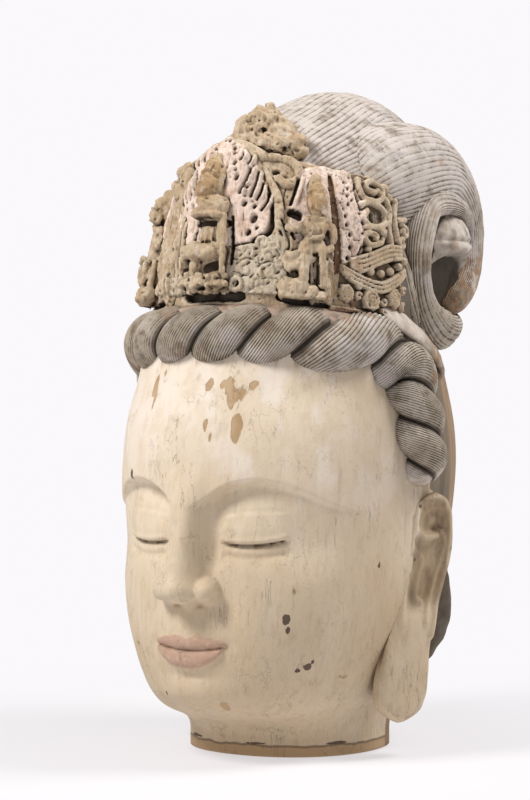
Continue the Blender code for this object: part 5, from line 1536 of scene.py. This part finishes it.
def hairPaint():
    p = Paint("hair_paint", 0.82, 0.18)
    comb = p.layer("comb")
    shade = p.layer("shade")
    wide = p.patches(0.05, 0.36, 0.64, 3.0, rough=0.5)
    cloudy = p.patches(0.011, 0.38, 0.66, 8.0, detail=5, rough=0.62)
    fleck = p.noise(0.0026, 3, (1, 1, 1), 5.0, 0.6)
    up = p.node("ShaderNodeSeparateXYZ", None, {0: p.place}, output="Z")
    crest = p.mix(wide, (0.46, 0.40, 0.335), (0.355, 0.295, 0.225))
    crest = p.mix(cloudy * 0.6, crest, (0.27, 0.22, 0.16))
    # paler patches of paint, and a painted highlight towards the top of the knot
    high = p.patches(0.045, 0.50, 0.66, 17.0, detail=3, rough=0.5) * 0.75
    high = high + up.between(0.44, 0.54) * (1 - high) * (0.85 - cloudy * 0.35)
    crest = p.mix(high, crest, (0.55, 0.495, 0.46))
    groove = (comb + (fleck - 0.5) * 0.8 + (cloudy - 0.5) * 0.3).between(0.45, 0.90)
    colour = p.mix(groove * (0.92 - high * 0.50), crest, (0.072, 0.052, 0.034))
    stain = p.patches(0.024, 0.54, 0.68, 27.0, detail=5)
    colour = p.mix(stain * 0.65, colour, (0.16, 0.108, 0.068))
    orange = p.patches(0.032, 0.60, 0.72, 33.0)
    colour = p.mix(orange * 0.55, colour, (0.33, 0.195, 0.11))
    blue = p.patches(0.018, 0.58, 0.70, 41.0)
    colour = p.mix(blue * 0.40, colour, (0.165, 0.175, 0.17))
    # painted shade where the open air round a point is hidden
    colour = p.mix(shade.between(0.16, 0.62) * 0.88, colour, (0.042, 0.031, 0.022))
    wooden = p.mix(cloudy, (0.36, 0.22, 0.13), (0.20, 0.125, 0.075))
    spotty = p.patches(0.009, 0.40, 0.56, 61.0)
    colour = p.mix(p.layer("rusty").between(0.2, 0.8) * spotty * 0.85, colour, wooden)
    colour = p.mix(p.layer("bare") * 0.85, colour, p.mix(cloudy, (0.66, 0.585, 0.52), (0.50, 0.41, 0.33)))
    # painted shade in the roll's crevices, the core, the knobs' hollows and the cap's foot, with real stains
    # on the knobs and the nape strands
    colour = p.mix(p.layer("stain") * 0.97, colour, (0.045, 0.034, 0.024))
    surface = p.noise(0.0035, 4, (1, 1, 1), 11.0, 0.65)
    return p.finish(colour, 0.76 + 0.12 * cloudy, (
        (surface, 0.0010, 0.6), (1 - groove, 0.0006, 0.7), (fleck, 0.0004, 0.5)))


def crownPaint():
    p = Paint("crown_paint", 0.85, 0.16)
    shade = p.layer("shade")
    cloudy = p.patches(0.010, 0.36, 0.66, 8.0, detail=5, rough=0.62)
    wide = p.patches(0.035, 0.38, 0.64, 2.0, detail=3, rough=0.5)
    fleck = p.noise(0.0022, 3, (1, 1, 1), 5.0, 0.6)
    beige = p.mix(wide, (0.59, 0.475, 0.345), (0.49, 0.375, 0.25))
    beige = p.mix(cloudy * 0.6, beige, (0.36, 0.255, 0.15))
    moss = p.mix(cloudy, (0.62, 0.54, 0.42), (0.50, 0.42, 0.30))
    pink = p.mix(cloudy, (0.80, 0.645, 0.55), (0.66, 0.505, 0.41))
    edge = (fleck - 0.5) * 0.4
    colour = p.mix((p.layer("moss") + edge).between(0.3, 0.7) * 0.8, beige, moss)
    colour = p.mix((p.layer("pink") + edge).between(0.3, 0.7), colour, pink)
    colour = p.mix((p.layer("rust") + edge).between(0.3, 0.7), colour, (0.19, 0.105, 0.065))
    # painted shade on the open-work's low ground
    colour = p.mix((p.layer("dark") + edge * 0.5).between(0.35, 0.85) * 0.8, colour, (0.10, 0.072, 0.045))
    colour = p.mix(p.layer("tawny") * 0.8, colour, p.mix(cloudy, (0.47, 0.315, 0.165), (0.33, 0.21, 0.105)))
    red = p.patches(0.014, 0.56, 0.68, 19.0)
    colour = p.mix(red * 0.45, colour, (0.44, 0.25, 0.14))
    grain = p.patches(0.0014, 0.50, 0.70, 29.0, detail=3, stretch=(1, 1, 9))
    colour = p.mix(grain * 0.35, colour, (0.24, 0.165, 0.10))
    pale = p.patches(0.008, 0.56, 0.68, 23.0)
    colour = p.mix(pale * 0.50, colour, (0.64, 0.575, 0.49))
    near = p.layer("groove")
    # painted shade in the narrow hollows, paler on the ridges
    colour = p.mix(near.between(0.15, 0.9) * 0.60, colour, (0.10, 0.07, 0.042))
    colour = p.mix(near.between(-0.25, -1.0) * 0.35, colour, (0.66, 0.565, 0.45))
    # painted shade where the open air round a point is hidden
    colour = p.mix(shade.between(0.20, 0.62) * 0.93, colour, (0.032, 0.021, 0.013))
    # painted shade: near black in the undercuts and the figures' pits, darker in the ornament's pocks
    colour = p.mix(p.layer("stain").between(0.2, 0.8) * 0.94, colour, (0.020, 0.013, 0.008))
    colour = p.mix(fleck.between(0.60, 0.72) * 0.45, colour, (0.11, 0.08, 0.05))
    surface = p.noise(0.0035, 4, (1, 1, 1), 11.0, 0.65)
    return p.finish(colour, 0.80 + 0.10 * cloudy, (
        (surface, 0.0014, 0.7), (grain, 0.0006, 0.6), (fleck, 0.0006, 0.6)))


plain = gessoPaint()
plainCrown = crownPaint()
plainHair = hairPaint()

print("head")
face = carvedHead()
ears = [longEar(-1), longEar(1)]
ties = [tieEnd(-1), tieEnd(1)]
print("hair roll")
strand = hairRoll()
print("crown")
wall = crownWall()
print("crown figures")
figures = [middleFigure(), hangingFolds(), sideFigureLeft(), sideFigureRight(), wornOrnament()]
print("topknot")
made, locks = topknot()
print("shade")
hair = [strand, *ties, *made[1:], *locks]
keepShade([wall, *figures], (strand, made[1]), 0.014, 14)
keepShade([face, *ears, *hair], (made[0], wall, *figures), 0.016, 8)
wear(face, plain, "head")
for piece in ears:
    wear(piece, plain)
wear(wall, plainCrown, "crown")
for piece in figures:
    wear(piece, plainCrown)
wear(made[0], plainHair, "topknot")
for piece in hair:
    wear(piece, plainHair)


# Camera, light and floor

view = dict(turn=32, distance=2.0, height=0.31, middle=-0.0226, lens=99.5)
turn = math.radians(view["turn"])
aim = Vector((view["middle"] * math.cos(turn), view["middle"] * math.sin(turn), view["height"]))
bpy.ops.object.camera_add(location=aim + view["distance"] * Vector((math.sin(turn), -math.cos(turn), 0)))
camera = bpy.context.active_object
camera.data.lens = view["lens"]
camera.rotation_euler = (math.pi / 2, 0, turn)
bpy.context.scene.camera = camera

deselect()
bpy.ops.mesh.primitive_plane_add(size=60)
floor = bpy.context.active_object
floor.name = "studioFloor"
backdrop = (0.956, 0.939, 0.965)
floorPaint = Paint("pale_floor", 0.6)
away = floorPaint.node(
    "ShaderNodeVectorMath", {"operation": "LENGTH"}, {0: floorPaint.place}, output="Value")
floorPaint.finish((0.83, 0.81, 0.825))
# the floor fades into the white behind it
glow = floorPaint.node("ShaderNodeEmission", None, {"Color": backdrop, "Strength": 1.0})
whole = floorPaint.node("ShaderNodeMixShader", None, {
    0: 0.60 + 0.40 * away.between(0.18, 0.70), 1: Wire(floorPaint, floorPaint.shader.outputs[0]), 2: glow})
floorPaint.feed(floorPaint.tree.nodes["Material Output"].inputs["Surface"], whole)
floor.data.materials.append(floorPaint.material)

studio = bpy.data.worlds.new("studio")
bpy.context.scene.world = studio
studio.use_nodes = True
links, nodes = studio.node_tree.links, studio.node_tree.nodes
rays = nodes.new("ShaderNodeLightPath")
strength = nodes.new("ShaderNodeMapRange")
strength.inputs["To Min"].default_value = 0.36  # the light that falls on things
strength.inputs["To Max"].default_value = 1.0  # the white seen behind them
links.new(rays.outputs["Is Camera Ray"], strength.inputs["Value"])
links.new(strength.outputs["Result"], nodes["Background"].inputs["Strength"])
nodes["Background"].inputs["Color"].default_value = (*backdrop, 1)
bpy.context.scene.view_settings.view_transform = "Standard"


def softLight(name, turn, lift, distance, size, power, colour):
    # turn and lift in degrees, from the front and from the floor
    turn, lift = math.radians(turn), math.radians(lift)
    way = Vector((math.sin(turn) * math.cos(lift), -math.cos(turn) * math.cos(lift), math.sin(lift)))
    middle = Vector((0, 0, 0.32))
    bpy.ops.object.light_add(type="AREA", location=middle + distance * way)
    lamp = bpy.context.active_object
    lamp.name = name
    lamp.data.shape = "DISK"
    lamp.data.size = size
    lamp.data.energy = power
    lamp.data.color = colour
    lamp.rotation_euler = (-way).to_track_quat("-Z", "Y").to_euler()


softLight("keyLight", -24, 42, 2.2, 0.7, 41, (1, 0.985, 0.96))
softLight("topLight", 120, 54, 2.2, 0.9, 38, (1, 0.985, 0.965))
